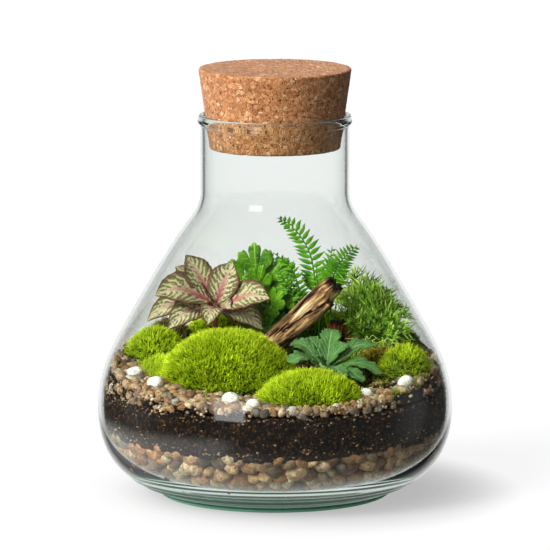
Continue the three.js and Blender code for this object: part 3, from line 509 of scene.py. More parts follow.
def bed(low, high, back, sides, wall_rows, rings):
    """A layer's skin: in along the low surface, up the glass, and in along the high surface."""
    angle = full_turn(sides)
    low_edge, high_edge = edge_height(low, angle), edge_height(high, angle)
    rises = np.linspace(0, 1, wall_rows)
    wall = [wall_point(angle, (1 - t) * low_edge + t * high_edge, back) for t in rises]
    flat = []
    for surface, edge in ((low, wall[0]), (high, wall[-1])):
        rows = []
        for share in np.linspace(1, 0.02, rings + 1)[1:]:
            x, y = edge[:, 0] * share, edge[:, 1] * share
            rows.append(gather(x, y, surface(x, y)))
        flat.append(rows)
    return np.stack(flat[0][::-1] + wall + flat[1])


print("ground at the front and the back in mm:", ground_top(0, -90).round(1), ground_top(0, 90).round(1))

# %% [markdown]
# ## Stones
#
# River pebbles are worn ellipsoids. One round template is stretched to three half sizes, dented by a
# few random waves over its surface, and turned. A physics run could drop them into the jar. Pushing
# overlapping stones apart and putting them back against the glass, over and over as shaking does, packs
# them the same way each time.

# %% Stone shapes and packing
WAVES, WAVE_SPREAD = 4, 1.6
LEAN, SPIN = 0.22, 0.6
wall_steps = unit(np.gradient(inside, axis=0))
into_flask = np.stack([-wall_steps[:, 1], wall_steps[:, 0]], axis=1)


def ball(rows, sides):
    """A unit ball: sine and cosine of the angle from its pole, swept round the axis."""
    down = np.arange(1, rows) / rows * np.pi
    return closed_tube(turned(np.stack([np.sin(down), -np.cos(down)], axis=1), sides))


def stones(places, half_sizes, facing, seed, rows=7, sides=10, dents=0.1):
    """Stones at places: shortest along `facing`, turned at random about it, with wavy dents."""
    draw = chance(seed)
    count = len(places)
    shape, triangles = ball(rows, sides)
    shape[-2:] = [[0, 0, -1], [0, 0, 1]]
    waves = draw.normal(0, WAVE_SPREAD, (count, WAVES, 3))
    phases = draw.uniform(0, 2 * np.pi, (count, WAVES))
    swing = np.cos(np.einsum("nwk,vk->nwv", waves, shape) + phases[:, :, None]).sum(axis=1)
    dent = 1 + dents * swing
    facing = unit(facing + draw.normal(0, LEAN, facing.shape))
    beside = unit(np.cross(facing, UP) + 1e-6)
    over = np.cross(facing, beside)
    spin = draw.uniform(-SPIN, SPIN, count)[:, None]
    cosine, sine = np.cos(spin), np.sin(spin)
    axes = np.stack([beside * cosine + over * sine, over * cosine - beside * sine, facing], axis=1)
    axes = axes * half_sizes[:, :, None]
    points = places[:, None] + np.einsum("nvk,nkj->nvj", shape[None] * dent[:, :, None], axes)
    shift = np.arange(count)[:, None, None] * len(shape)
    tone = np.repeat(draw.uniform(0, 1, count), len(shape))
    return points.reshape(-1, 3), (triangles[None] + shift).reshape(-1, 3), tone


def settle(places, radii, put_back, rounds):
    """Pushes overlapping stones apart by half their overlap each, then puts them back in their bed."""
    for _ in range(rounds):
        between = places[:, None] - places[None]
        apart = np.sqrt((between**2).sum(axis=2)) + np.eye(len(places)) * 1000
        overlap = np.clip(radii[:, None] + radii[None] - apart, 0, None) / apart
        places = put_back(places + 0.5 * np.einsum("ijk,ij->ik", between, overlap))
    return places


def against_glass(places, back):
    """Moves stones to the nearest place on the glass, held back from it along the wall's normal."""
    radius = from_axis(places)
    flat = np.stack([radius, places[:, 2]], axis=1)
    nearest = ((flat[:, None] - inside[None]) ** 2).sum(axis=2).argmin(axis=1)
    spot = inside[nearest] + into_flask[nearest] * np.reshape(back, (-1, 1))
    around = places[:, :2] / radius[:, None]
    inward = np.column_stack([around * into_flask[nearest][:, :1], into_flask[nearest][:, 1]])
    return np.column_stack([around * spot[:, :1], spot[:, 1]]), inward


print("triangles of one plain stone:", len(ball(7, 10)[1]))

# %% [markdown]
# ## Finishes of stone and soil
#
# Worn pebbles are dull when dry, each of one rock with fine specks. A material for each rock would
# repeat itself, so each stone carries one random tone, and a ramp of rock colours turns it into tan,
# rust, grey, olive or brown. Potting soil is dark fibre with pale grains of perlite and sand.


# %% Stone and soil materials
def rock(stops, roughness, speck_scale=900.0, relief=0.0003, mottled=0.62):
    """Worn rock: each stone its own dull colour from its tone, mottled by noise, with dark specks."""
    def build(tree):
        tone = add(tree, "ShaderNodeAttribute", attribute_name="tone").outputs["Fac"]
        place = add(tree, "ShaderNodeTexCoord").outputs["Object"]
        kind = add(tree, "ShaderNodeValToRGB", {"Fac": tone}, stops=stops)
        mottle = add(tree, "ShaderNodeTexNoise", {
            "Vector": place, "Scale": speck_scale / 3, "Detail": 6.0, "Roughness": 0.7})
        shade = add(tree, "ShaderNodeMapRange", {
            "Value": mottle, "From Min": 0.42, "From Max": 0.58, "To Min": mottled, "To Max": 1.25})
        shaded = add(tree, "ShaderNodeVectorMath", {0: kind, 1: shade}, operation="MULTIPLY")
        specks = add(tree, "ShaderNodeTexNoise", {"Vector": place, "Scale": speck_scale, "Detail": 3.0})
        speck = add(tree, "ShaderNodeMapRange", {"Value": specks, "From Min": 0.57, "From Max": 0.65})
        specked = add(tree, "ShaderNodeMix", {"Factor": speck, 6: shaded, 7: colour("#5f4a35")},
                      data_type="RGBA")
        bump = add(tree, "ShaderNodeBump", {"Height": mottle, "Strength": 0.7, "Distance": relief})
        return add(tree, "ShaderNodeBsdfPrincipled", {
            "Base Color": specked.outputs[2], "Roughness": roughness, "Normal": bump})
    return build


def potting_mix(tree):
    """Moist potting mix: a near-black band of fibre with brown crumbs and a few pale points."""
    place = add(tree, "ShaderNodeTexCoord").outputs["Object"]
    crumbs = add(tree, "ShaderNodeTexNoise", {
        "Vector": place, "Scale": 620.0, "Detail": 6.0, "Roughness": 0.65})
    brown = add(tree, "ShaderNodeValToRGB", {"Fac": crumbs}, stops=[
        (0.38, "#030201"), (0.5, "#0c0704"), (0.56, "#2a1a0d"), (0.68, "#745033")])
    grains = add(tree, "ShaderNodeTexVoronoi", {"Vector": place, "Scale": 620.0})
    pick = add(tree, "ShaderNodeSeparateColor", {"Color": grains.outputs["Color"]})
    rare = add(tree, "ShaderNodeMath", {0: pick, 1: 0.975}, operation="GREATER_THAN")
    small = add(tree, "ShaderNodeMath", {0: grains.outputs["Distance"], 1: 0.34}, operation="LESS_THAN")
    both = add(tree, "ShaderNodeMath", {0: rare, 1: small}, operation="MULTIPLY")
    mixed = add(tree, "ShaderNodeMix", {"Factor": both, 6: brown, 7: colour("#b7a488")}, data_type="RGBA")
    bump = add(tree, "ShaderNodeBump", {"Height": crumbs, "Strength": 1.0, "Distance": 0.0016})
    return add(tree, "ShaderNodeBsdfPrincipled", {
        "Base Color": mixed.outputs[2], "Roughness": 0.75, "Normal": bump})


# Drainage pebbles: an uneven, earthy mix with strong light and dark from stone to stone
pebble_rock = material("river_pebbles_worn", rock([
    (0.0, "#a57c53"), (0.14, "#c8a276"), (0.28, "#6e4930"), (0.4, "#b98153"), (0.5, "#75695c"),
    (0.62, "#af8963"), (0.74, "#463c32"), (0.86, "#dcc29a"), (1.0, "#a3693a")],
    0.5, mottled=0.55, relief=0.0005))
# Top dressing: paler and greyer, so that it stands off the dark soil below it
gravel_rock = material("mixed_gravel_washed", rock([
    (0.0, "#a88863"), (0.18, "#cfb794"), (0.36, "#95633d"), (0.5, "#716963"), (0.64, "#b89468"),
    (0.8, "#9a6b43"), (0.9, "#544b43"), (1.0, "#e6d9c0")], 0.6))
# White pebbles: the brightest spots in the jar, nearly without marks
white_rock = material("white_quartz_tumbled", rock(
    [(0.0, "#f6efe0"), (1.0, "#fffaf0")], 0.4, speck_scale=1400.0, mottled=0.9))
# Damp litter: dark browns with a few straw-coloured bits
litter_finish = material("leaf_litter_damp", rock([
    (0.0, "#1d120a"), (0.3, "#3b2515"), (0.55, "#5f3b20"), (0.75, "#7c5730"), (0.9, "#8a7a3c"),
    (1.0, "#b59a6c")], 0.8))
soil_finish = material("potting_mix_moist", potting_mix)
for finish in (pebble_rock, gravel_rock, white_rock, litter_finish, soil_finish):
    print("finish:", finish.name)

# %% [markdown]
# ## Soil
#
# A dark band of potting mix pressed against the glass. Separate crumbs would be hidden by one another,
# so one closed skin is pushed in by two sizes of noise, and the glass shows the hollows between crumbs.

# %% Soil
SOIL_SAG, SAG_START, SAG_END = 2.2, 84, 92
CRUMB_DEPTH = 0.6


def soil_bottom(x, y):
    """The top of the drainage, with a sag between its pebbles near the glass."""
    return drainage_top(x, y) - SOIL_SAG * ease(SAG_START, SAG_END, np.hypot(x, y))


soil_grid = bed(soil_bottom, soil_top, back=0.8, sides=300, wall_rows=22, rings=20)
# Large crumbs of 2.4 mm with small ones of 1.1 mm on them
crumb = 0.7 * noise(soil_grid, 2.4, 5) + 0.45 * noise(soil_grid, 1.1, 6)
soil_grid = soil_grid - outward(soil_grid) * np.clip(crumb + 0.5, 0, 2)[..., None] * CRUMB_DEPTH
piece("potting_soil_bed", closed_tube(soil_grid), soil_finish, ["potting_soil"])

# %% [markdown]
# ## Drainage pebbles
#
# Pebbles of 7 to 13 mm keep the roots out of standing water. Only those against the glass are ever
# seen, so one layer is packed on the glass, a coarser one behind it closes the gaps, and a plain core
# fills the middle. The core takes the darkest rock colour, painted shade in the gaps between pebbles.

# %% Drainage pebbles
# A stone rests with its middle a share of its radius off the glass, and a small gap keeps them apart
REST, GAP, SQUEEZE = 0.82, 0.3, 0.92
DRAINAGE_DEPTH, ROUNDS = 27, 60
draw = chance(11)
layers = []
# Each row: number of stones, depth behind the glass, smallest and largest radius, seed, rows and sides
pebble_layers = ((470, 0.0, 3.4, 6.4, 12, 8, 12), (330, 7.0, 3.8, 6.2, 19, 5, 8))
for count, depth, smallest, largest, seed, rows, sides in pebble_layers:
    angle = draw.uniform(0, 2 * np.pi, count)
    radius = draw.uniform(smallest, largest, count)
    rise = draw.uniform(0, 1, count) ** 0.9
    height = FLOOR_HEIGHT + 2 + rise * DRAINAGE_DEPTH
    back = REST * radius + GAP + depth
    lowest = FLOOR_HEIGHT + 0.8 * radius + GAP

    def in_bed(spots, radius=radius, back=back, lowest=lowest):
        """Against the glass, above the floor and below the soil."""
        spots, _ = against_glass(spots, back)
        ceiling = drainage_top(spots[:, 0], spots[:, 1]) - 0.5 * radius + 2.4 * noise(spots * [1, 1, 0], 9, 3)
        spots[:, 2] = np.clip(spots[:, 2], lowest, ceiling)
        return spots

    spots = settle(wall_point(angle, height, 6), SQUEEZE * radius, in_bed, ROUNDS)
    spots, inward = against_glass(spots, back)
    spots[:, 2] = np.maximum(spots[:, 2], lowest)
    half_sizes = radius[:, None] * draw.uniform([1.0, 0.72, 0.74], [1.3, 0.98, 0.84], (count, 3))
    layers.append(stones(spots, half_sizes, inward, seed, rows, sides, dents=0.055))
core_grid = bed(lambda x, y: FLOOR_HEIGHT + 1.5 + 0 * x, lambda x, y: drainage_top(x, y) - 1,
                back=6.5, sides=130, wall_rows=14, rings=12)
core_grid = core_grid - outward(core_grid) * (1.4 + 1.4 * noise(core_grid, 6, 7))[..., None]
core_points, core_faces = closed_tube(core_grid)
# The core's tone sits on the darkest stop of the rock colours: painted shade seen through the gaps
layers.append((core_points, core_faces, 0.74 + 0.05 * noise(core_points, 9, 8)))
piece("drainage_pebbles", together(layers), pebble_rock, ["drainage_gravel"], carries="tone")

# %% [markdown]
# ## Top dressing
#
# Small pebbles and grit lie on a dark forest floor and run down over the soil in a ragged edge where
# they meet the glass. The floor is one skin. The stones come in two sizes, settle on it and against
# the glass, and leave room where the moss grows at the back and on the right.

# %% Forest floor
draw = chance(41)
dressing = bed(lambda x, y: soil_top(x, y) + 0.8, lambda x, y: ground_top(x, y) - 1.2,
               back=1.6, sides=210, wall_rows=8, rings=34)
dressing = dressing - outward(dressing) * (0.5 * noise(dressing, 2.2, 9) + 0.5)[..., None]
upper_side = dressing[..., 2] > soil_top(dressing[..., 0], dressing[..., 1]) + 1.6
dressing[..., 2] += 0.5 * noise(dressing, 3.1, 10) * upper_side
piece("forest_floor", closed_tube(dressing), soil_finish, ["top_gravel"])

# %% Dressing stones
# The stones cover the layer's edge on the glass and a ring of this width inside it
RING_WIDTH = 30
WALL_STONES = 88
dressing_parts = []
# Each row: number of stones, smallest and largest radius, seed, rounds of settling, rows and sides
dressing_sizes = ((620, 2.0, 3.7, 42, 24, 7, 10), (2300, 0.6, 1.4, 43, 6, 3, 6))
for count, smallest, largest, seed, rounds, rows, sides in dressing_sizes:
    angle = draw.uniform(0, 2 * np.pi, count)
    radius = draw.uniform(smallest, largest, count)
    top_edge, low_edge = edge_height(ground_top, angle), edge_height(soil_top, angle)
    up_wall = np.maximum(top_edge - low_edge, 1)
    along = draw.uniform(0, 1, count) * (up_wall + RING_WIDTH)
    around = gather(*plan(GLASS_REACH, angle), 0 * angle)
    ragged = 1.6 * noise(around, 7, 12) + 1.2 * noise(around, 2.8, 13) - 0.6
    height = low_edge + ragged + 0.8 * radius + np.minimum(along, up_wall) * 0.9
    at_glass = wall_point(angle, height, 0.85 * radius + 0.2)
    x, y = plan(GLASS_REACH + 1 - np.maximum(along - up_wall, 0), angle)
    on_top = gather(x, y, ground_top(x, y) - 0.1 * radius)
    spots = np.where((along < up_wall)[:, None], at_glass, on_top)

    def in_dressing(spots, radius=radius, ragged=ragged):
        """Inside the glass, and on the ground or against the glass below it."""
        limit = inside_radius(spots[:, 2]) - 0.85 * radius - 0.2
        spots[:, :2] *= np.minimum(1, limit / from_axis(spots))[:, None]
        ground = ground_top(spots[:, 0], spots[:, 1]) - 0.1 * radius
        floor = soil_top(spots[:, 0], spots[:, 1]) + 0.6 * radius + ragged
        near_glass = from_axis(spots) > limit - 1.2
        spots[:, 2] = np.where(near_glass, np.clip(spots[:, 2], floor, np.maximum(ground, floor)), ground)
        return spots

    spots = settle(spots, 0.85 * radius, in_dressing, rounds)
    half_sizes = radius[:, None] * draw.uniform([1.0, 0.75, 0.6], [1.25, 1.0, 0.8], (count, 3))
    x, y = spots[:, 0], spots[:, 1]
    mossy = ease(20, 55, x + 0.4 * y) + ease(-10, 20, y) * ease(-85, -50, -np.abs(x))
    bare = draw.uniform(0, 1, count) > 0.62 * mossy
    spots, half_sizes = spots[bare], half_sizes[bare]
    at_wall = (from_axis(spots) > WALL_STONES)[:, None]
    facing = np.where(at_wall, spots * [1, 1, 0.3], UP)
    dressing_parts.append(stones(spots, half_sizes, facing, seed, rows, sides))
piece("top_dressing_stones", together(dressing_parts), gravel_rock, ["top_gravel"], carries="tone")

# %% [markdown]
# ## Chips in the soil and litter on it
#
# Bark and grit fall along the layers as the jar is filled, and bits of leaf cover the floor. They are
# stones too, long, flat and strongly dented: chips mostly near the soil's two edges, litter mostly
# away from the middle.

# %% Soil chips and forest litter
CHIPS, LITTER = 640, 2100
# Shares of the chips near the top of the soil, near its bottom, and anywhere
SHARES = (0.45, 0.3, 0.25)
draw = chance(51)
count = CHIPS
angle = draw.uniform(0, 2 * np.pi, count)
spread = draw.choice(len(SHARES), count, p=SHARES)
top_edge, low_edge = edge_height(soil_top, angle), edge_height(drainage_top, angle)
under_top = top_edge - np.abs(draw.normal(0, 2.2, count))
over_low = low_edge + np.abs(draw.normal(0, 2.6, count))
height = np.choose(spread, [under_top, over_low, draw.uniform(low_edge, top_edge)])
radius = draw.uniform(0.3, 0.85, count)
spots = wall_point(angle, height, 0.45 * radius + 0.25)
half_sizes = radius[:, None] * draw.uniform([0.9, 0.5, 0.5], [1.5, 0.8, 0.7], (count, 3))
points, faces, tone = stones(spots, half_sizes, spots * [1, 1, 0], 52, rows=4, sides=6, dents=0.16)
piece("soil_chips", (points, faces, 0.3 + 0.6 * tone), gravel_rock, carries="tone")

count = LITTER
angle = draw.uniform(0, 2 * np.pi, count)
x, y = plan(93 * draw.uniform(0, 1, count) ** 0.6, angle)
radius = draw.uniform(0.5, 1.7, count)
spots = gather(x, y, ground_top(x, y) - 1.1 + 0.3 * radius)
half_sizes = radius[:, None] * draw.uniform([1.0, 0.5, 0.4], [1.8, 0.9, 0.7], (count, 3))
facing = UP + draw.normal(0, 0.4, (count, 3))
litter = stones(spots, half_sizes, facing, 53, rows=3, sides=5, dents=0.2)
piece("forest_litter", litter, litter_finish, carries="tone")

# %% [markdown]
# ## White pebbles
#
# Six tumbled quartz pebbles lie loose on the dressing as ornaments. They could come out of the same
# shower of stones as the dressing. They are few and bright, though, and the eye counts them, so each has
# its own place and size and finer faces.

# %% White pebbles
# Each row: place from left to right and from front to back, and three half sizes
white_spots = [(-66, -45, 4.4, 3.6, 3), (-24, -72, 4.8, 4.2, 3.4), (-78, -28, 3.8, 3.2, 2.8),
               (50, -62, 3.8, 3, 2.6), (72, -45, 4.2, 3.4, 3), (-12, -82, 3.6, 3, 2.6)]
for number, (x, y, *half) in enumerate(white_spots, 1):
    half = np.array([half]) * [1.12, 1.18, 1.3]
    spot = np.array([[x, y, ground_top(x, y) + 0.4 * half[0, 2]]])
    shape = stones(spot, half, UP[None], 60 + number, rows=20, sides=28, dents=0.04)
    piece(f"white_pebble_{number}_tumbled", shape, white_rock, [f"white_pebble_{number}"], carries="tone")

# %% [markdown]
# ## Moss
#
# A cushion is thousands of upright stems with fine leaves, so close that only the tips take light. Hair
# would do it too, but only meshes are kept with the part. So each stem is a tuft of thin closed spikes
# leaning out from one root, and the roots follow a sunflower spiral over a low dome, which spreads them
# evenly. A near-black skin closes the gaps between them as painted shade, and the blades are painted
# darker towards their roots, partly as shade deep in the cushion.

# %% Moss blades
GOLDEN_TURN = np.pi * (3 - 5**0.5)
SKIN_SIDES = 48
triangle = np.array([[1, 0], [-0.5, 0.87], [-0.5, -0.87]])
blade_points = np.vstack([np.column_stack([triangle, [0, 0, 0]]), [0, 0, 1]])
blade_faces = np.array([[0, 2, 1], [0, 1, 3], [1, 2, 3], [2, 0, 3]])
spike_rings = [np.column_stack([triangle * wide, np.full(3, rise), np.full(3, rise**2)])
               for rise, wide in ((0, 0.8), (0.5, 0.9))]
spike_points = np.vstack([*spike_rings, [0, 0, 1, 1]])
spike_faces = [[0, 2, 1]]
for corner, following in ((0, 1), (1, 2), (2, 0)):
    spike_faces += [[corner, following, following + 3], [corner, following + 3, corner + 3],
                    [corner + 3, following + 3, 6]]
spike_faces = np.array(spike_faces)


def moss_finish(dark, middle, light):
    """Living moss: nearly black-green where the blades start and bright at their tips. The dark is partly
    the stems' own colour and partly painted shade deep among them.
    """
    def build(tree):
        tone = add(tree, "ShaderNodeAttribute", attribute_name="tone").outputs["Fac"]
        place = add(tree, "ShaderNodeTexCoord").outputs["Object"]
        shade = add(tree, "ShaderNodeValToRGB", {"Fac": tone}, stops=[
            (0.0, "#182205"), (0.28, dark), (0.6, middle), (1.0, light)])
        patches = add(tree, "ShaderNodeTexNoise", {"Vector": place, "Scale": 90.0, "Detail": 2.0})
        dulled = add(tree, "ShaderNodeMapRange", {
            "Value": patches, "From Min": 0.35, "From Max": 0.65, "To Min": 0.75, "To Max": 1.12})
        mixed = add(tree, "ShaderNodeVectorMath", {0: shade, 1: dulled}, operation="MULTIPLY")
        return add(tree, "ShaderNodeBsdfPrincipled", {
            "Base Color": mixed, "Roughness": 0.55, "Specular IOR Level": 0.3})
    return build


def spikes(roots, directions, lengths, widths, bends=None):
    """Closed spikes: a point at share t is root + direction * t + bend * t^2, tapering to a tip."""
    beside = unit(np.cross(directions, [0.31, 0.2, 0.93]))
    over = np.cross(directions, beside)
    axes = [beside * widths[:, None], over * widths[:, None] * 0.5, directions * lengths[:, None]]
    if bends is None:
        return copies(blade_points, blade_faces, roots, np.stack(axes, axis=1))
    return copies(spike_points, spike_faces, roots, np.stack([*axes, bends * lengths[:, None]], axis=1))


def cushion_surface(cushion, reach, angle):
    """Dome: height times 1 - reach^2.3 over an ellipse on the ground, with three slow lumps."""
    x, y, half_x, half_y, height, seed = cushion
    x = x + reach * half_x * np.cos(angle)
    y = y + reach * half_y * np.sin(angle)
    lumps = 1 + 0.06 * np.sin(3 * angle + seed) * reach
    rise = height * np.clip(1 - reach**2.3, 0, 1) * lumps
    return gather(x, y, ground_top(x, y) + 0.5 + rise)


def tufts(roots, stems, blades, length, width, seed, spread=0.42):
    """Blades that lean out at random from each root about its stem, darker at the root than at the tip,
    partly as painted shade.
    """
    draw = chance(seed)
    stems = unit(stems + draw.normal(0, 0.2, stems.shape))
    roots = np.repeat(roots + draw.uniform(-1.5, 0.5, (len(roots), 1)) * stems, blades, axis=0)
    count = len(roots)
    directions = unit(np.repeat(stems, blades, axis=0) + draw.normal(0, spread, (count, 3)))
    directions[:, 2] = np.maximum(directions[:, 2], -0.05)
    points, faces = spikes(roots, directions, length * draw.uniform(0.6, 1.15, count),
                           width * draw.uniform(0.75, 1.2, count))
    fresh = 0.8 + 0.12 * noise(roots, 7, seed) + draw.normal(0, 0.14, count)
    # Tone 0.12 at each blade's root and 1.3 at its tip: darker low down, partly painted shade
    return points, faces, (fresh[:, None] * np.array([0.12, 0.12, 0.12, 1.3])).ravel()


def moss(name, cushion, finish, stems, blades=7, length=5.0, width=0.66):
    """A cushion: its dark skin, and tufts of blades along the dome's outward direction."""
    _, _, half_x, half_y, height, seed = cushion
    angle = np.arange(stems) * GOLDEN_TURN
    reach = ((np.arange(stems) + 0.5) / stems) ** 0.44
    roots = cushion_surface(cushion, reach, angle)
    roots[:, :2] += chance(seed).normal(0, 0.35, (stems, 2))
    slope = 2.3 * height * reach**1.3 / ((half_x + half_y) / 2)
    off_dome = unit(gather(*plan(slope, angle), 0.75))
    rows = np.concatenate([np.linspace(0.05, 0.98, 4), np.linspace(1, 0.03, 18)])
    skin = cushion_surface(cushion, *np.meshgrid(rows, full_turn(SKIN_SIDES), indexing="ij"))
    skin[:4, :, 2] = ground_top(skin[:4, :, 0], skin[:4, :, 1]) + 0.2
    skin[4:, :, 2] += 0.5 * noise(skin[4:], 1.5, seed + 1) - 0.4
    # The skin's tone of 0.08 is near black, painted shade in the gaps between the tufts
    parts = [painted(closed_tube(skin), 0.08), tufts(roots, off_dome, blades, length, width, seed + 100)]
    piece(name + "_blades", together(parts), finish, [name], carries="tone", smooth=False)


# Lime cushions are the liveliest colour in the jar. The others quieten it at the back and on the right.
lime_moss = material("cushion_moss_living", moss_finish("#4c6c04", "#b0cc0a", "#eaf63c"))
brown_moss = material("moss_brown_dry", moss_finish("#3b3020", "#7d6a48", "#a8a54e"))
olive_moss = material("moss_olive", moss_finish("#2f3a10", "#6d7f28", "#a9b64a"))
yellow_moss = material("moss_yellow_brown", moss_finish("#4f4014", "#a39026", "#d2c650"))
sprig_moss = material("sheet_moss_mixed", moss_finish("#3a3a0e", "#868c1e", "#b9c636"))

# %% Moss cushions
# Each cushion: place from left to right and from front to back, two half widths, height and seed in one
# row, then its finish and its number of stems
moss("moss_cushion_large", (-26, -22, 37, 32, 22.5, 31), lime_moss, 2300)
moss("moss_cushion_front", (19, -64, 27, 20, 12.5, 32), lime_moss, 1150)
moss("moss_cushion_left", (-67, 12, 16, 19, 12, 33), lime_moss, 540)
moss("moss_patch_back_left", (-61, 43, 12, 10, 9, 34), brown_moss, 280)
moss("moss_patch_right", (70, 22, 12, 14, 10, 35), olive_moss, 320)
moss("moss_patch_right_front", (72, -20, 13, 15, 11, 36), lime_moss, 320, length=5.4, width=0.58)
moss("moss_patch_yellow", (57, 1, 8, 8, 6, 37), yellow_moss, 170, blades=6)
moss("moss_cushion_back_left", (-28, 61, 22, 13, 10, 38), lime_moss, 500)
moss("moss_cushion_back_right", (29, 65, 22, 11, 9, 39), lime_moss, 430)

# %% [markdown]
# ## Low moss and sprigs
#
# Between cushions moss creeps on as a thin sheet, and single sprigs stand between the stones. Both are
# the same tufts on flat ground: a low runner joins the two left cushions, and the sprigs grow where a
# random number beats a map of the moist places at the back and on the right.

# %% Low moss between the left cushions
RUNNER_TUFTS, RUNNER_HEIGHT = 640, 4.5
RUNNER_MIDDLE, RUNNER_HALF = (-62, -14), (13, 19)
draw = chance(67)
count = RUNNER_TUFTS
angle, reach = draw.uniform(0, 2 * np.pi, count), draw.uniform(0, 1, count) ** 0.5
x = RUNNER_MIDDLE[0] + RUNNER_HALF[0] * reach * np.cos(angle)
y = RUNNER_MIDDLE[1] + RUNNER_HALF[1] * reach * np.sin(angle)
roots = gather(x, y, ground_top(x, y) - 0.6 + RUNNER_HEIGHT * (1 - reach**2))
runner = tufts(roots, np.tile(UP, (count, 1)), blades=7, length=4.4, width=0.6, seed=68)
piece("moss_runner_left", runner, lime_moss, carries="tone", smooth=False)

# %% Moss between the stones
SPRIG_TRIES = 8000
draw = chance(61)
count = SPRIG_TRIES
x, y = draw.uniform(-92, 92, (2, count))
right_side = ease(12, 45, x) * ease(-95, -75, -np.abs(y + 25))
back_side = ease(-5, 25, y)
edges = 0.16 * ease(-95, -70, -np.hypot(x + 20, y + 22))
patchy = ease(-0.25, 0.35, noise(gather(x, y, 0 * x), 9, 14))
moist = np.maximum(0.8 * np.maximum(right_side, back_side), edges) * patchy
inside_glass = np.hypot(x, y) < inside_radius(ground_top(x, y)) - 3
grows = (draw.uniform(0, 1, count) < moist) & inside_glass
x, y = x[grows], y[grows]
roots = gather(x, y, ground_top(x, y) - 0.9)
sprigs = tufts(roots, np.tile(UP, (len(x), 1)), blades=6, length=3.6, width=0.55, seed=62, spread=0.45)
piece("moss_sprigs", sprigs, sprig_moss, carries="tone", smooth=False)

# %% [markdown]
# ## Wood
#
# Driftwood has lost its bark and its soft grain, so deep cracks run along it between hard ridges. Each
# log is a line of rings. Sculpting would give one such log. Noise stretched six times along the log
# gives any number: it pushes the skin in, and the depth of each crack is kept as a tone that darkens it,
# painted shade down in the cracks, while the ridges are painted lighter.

# %% Driftwood and bark
GRAIN_STRETCH = 6


def weathered(stops, angle, scale):
    """Weathered wood: warm, dry fibres stretched along the log, lighter on the ridges and near black down
    in the cracks, from the log's tone: painted light and shade by depth.
    """
    def build(tree):
        tone = add(tree, "ShaderNodeAttribute", attribute_name="tone").outputs["Fac"]
        place = add(tree, "ShaderNodeTexCoord").outputs["Object"]
        grain = add(tree, "ShaderNodeMapping", {"Vector": place, "Rotation": angle, "Scale": (9.0, 1.0, 1.0)},
                    vector_type="TEXTURE")
        fibre = add(tree, "ShaderNodeTexNoise", {
            "Vector": grain, "Scale": scale, "Detail": 6.0, "Roughness": 0.7})
        shade = add(tree, "ShaderNodeMath", {0: fibre, 1: 2.2, 2: tone}, operation="MULTIPLY_ADD")
        shifted = add(tree, "ShaderNodeMath", {0: shade, 1: 1.12}, operation="SUBTRACT")
        tan = add(tree, "ShaderNodeValToRGB", {"Fac": shifted}, stops=stops)
        bump = add(tree, "ShaderNodeBump", {"Height": fibre, "Strength": 0.8, "Distance": 0.0006})
        return add(tree, "ShaderNodeBsdfPrincipled", {
            "Base Color": tan, "Roughness": 0.8, "Normal": bump})
    return build


def log(start, end, radii, flatness, seed, cracks=3.0, rows=130, sides=96):
    """Rings along a line: the radius less the cracks, which are noise stretched along the log."""
    start, end = np.array(start, float), np.array(end, float)
    axis = unit(end - start)
    across = unit(np.cross(UP, axis))
    over = np.cross(axis, across)
    along = np.linspace(0, 1, rows)
    turn = full_turn(sides)
    reach = np.interp(along, np.linspace(0, 1, len(radii)), radii)[:, None] * np.ones(sides)
    length = np.linalg.norm(end - start)
    strip = gather(*plan(reach, turn), along[:, None] * length / GRAIN_STRETCH)
    ridge = noise(strip, 3.4, seed) + 0.5 * noise(strip, 1.5, seed + 1)
    crack = ease(0.25, 0.9, -ridge)
    knots = 0.6 * noise(strip * [1, 1, 3], 5.0, seed + 2)
    reach = reach + 0.5 * ridge + knots - cracks * crack
    broken = ease(0.9, 1.0, along)[:, None] * 3.2 * noise(strip * [1, 1, 0], 2.1, seed + 3)
    centre = start + (end - start) * (0.02 + 0.96 * along)[:, None]
    grid = centre[:, None] + across * (reach * np.cos(turn))[..., None]
    grid = grid + over * (flatness * reach * np.sin(turn))[..., None] - axis * np.abs(broken)[..., None]
    points, faces = closed_tube(grid)
    # Darker towards the broken top end, and at the middle point of each end cap
    darkened_end = 0.45 * ease(0.93, 1, along)[:, None]
    # Tone: lighter on the ridges, painted light; near black down the cracks, painted shade
    tone = np.append((0.62 + 0.22 * ridge - 0.7 * crack - darkened_end).ravel(), [0.1, 0.1])
    return points, faces, tone


def along_log(start, end):
    """The turn that lays a pattern's X axis along the log."""
    return Vector((1, 0, 0)).rotation_difference(Vector(end) - Vector(start)).to_euler()


# Each log: its foot and tip, its radii from foot to tip, its flatness and its seed
branch, tip = (-18, 21, 64), (36, 8, 119)
wood = together([
    log(branch, tip, [6, 8, 8.6, 8.2, 7.6, 7.4, 7.8, 7.2, 5.6], 0.85, 21),
    log((0, 11, 83), (33, 5, 108), [2.8, 5.4, 6.2, 6, 5.2, 3.4], 0.85, 25, cracks=1.6, rows=90, sides=70)])
driftwood_finish = material("driftwood_weathered", weathered([
    (0.0, "#0d0704"), (0.25, "#2a1a0f"), (0.42, "#5f4128"), (0.6, "#967049"), (0.8, "#cda06c"),
    (1.0, "#ecd2a8")], along_log(branch, tip), 520.0))
piece("driftwood_split", wood, driftwood_finish, ["driftwood"], carries="tone")

bark_foot, bark_tip = (31, 20, 70), (36, 16, 95)
bark = log(bark_foot, bark_tip, [6.5, 8.4, 8.8, 8, 6.2], 0.55, 31, cracks=1.4, rows=80, sides=80)
bark_finish = material("bark_rusty", weathered([
    (0.0, "#1a0d07"), (0.3, "#4a2411"), (0.55, "#8a4a22"), (0.8, "#b0703c"), (1.0, "#c48d58")],
    along_log(bark_foot, bark_tip), 500.0))
piece("bark_chunk_rough", bark, bark_finish, ["bark_chunk"], carries="tone")

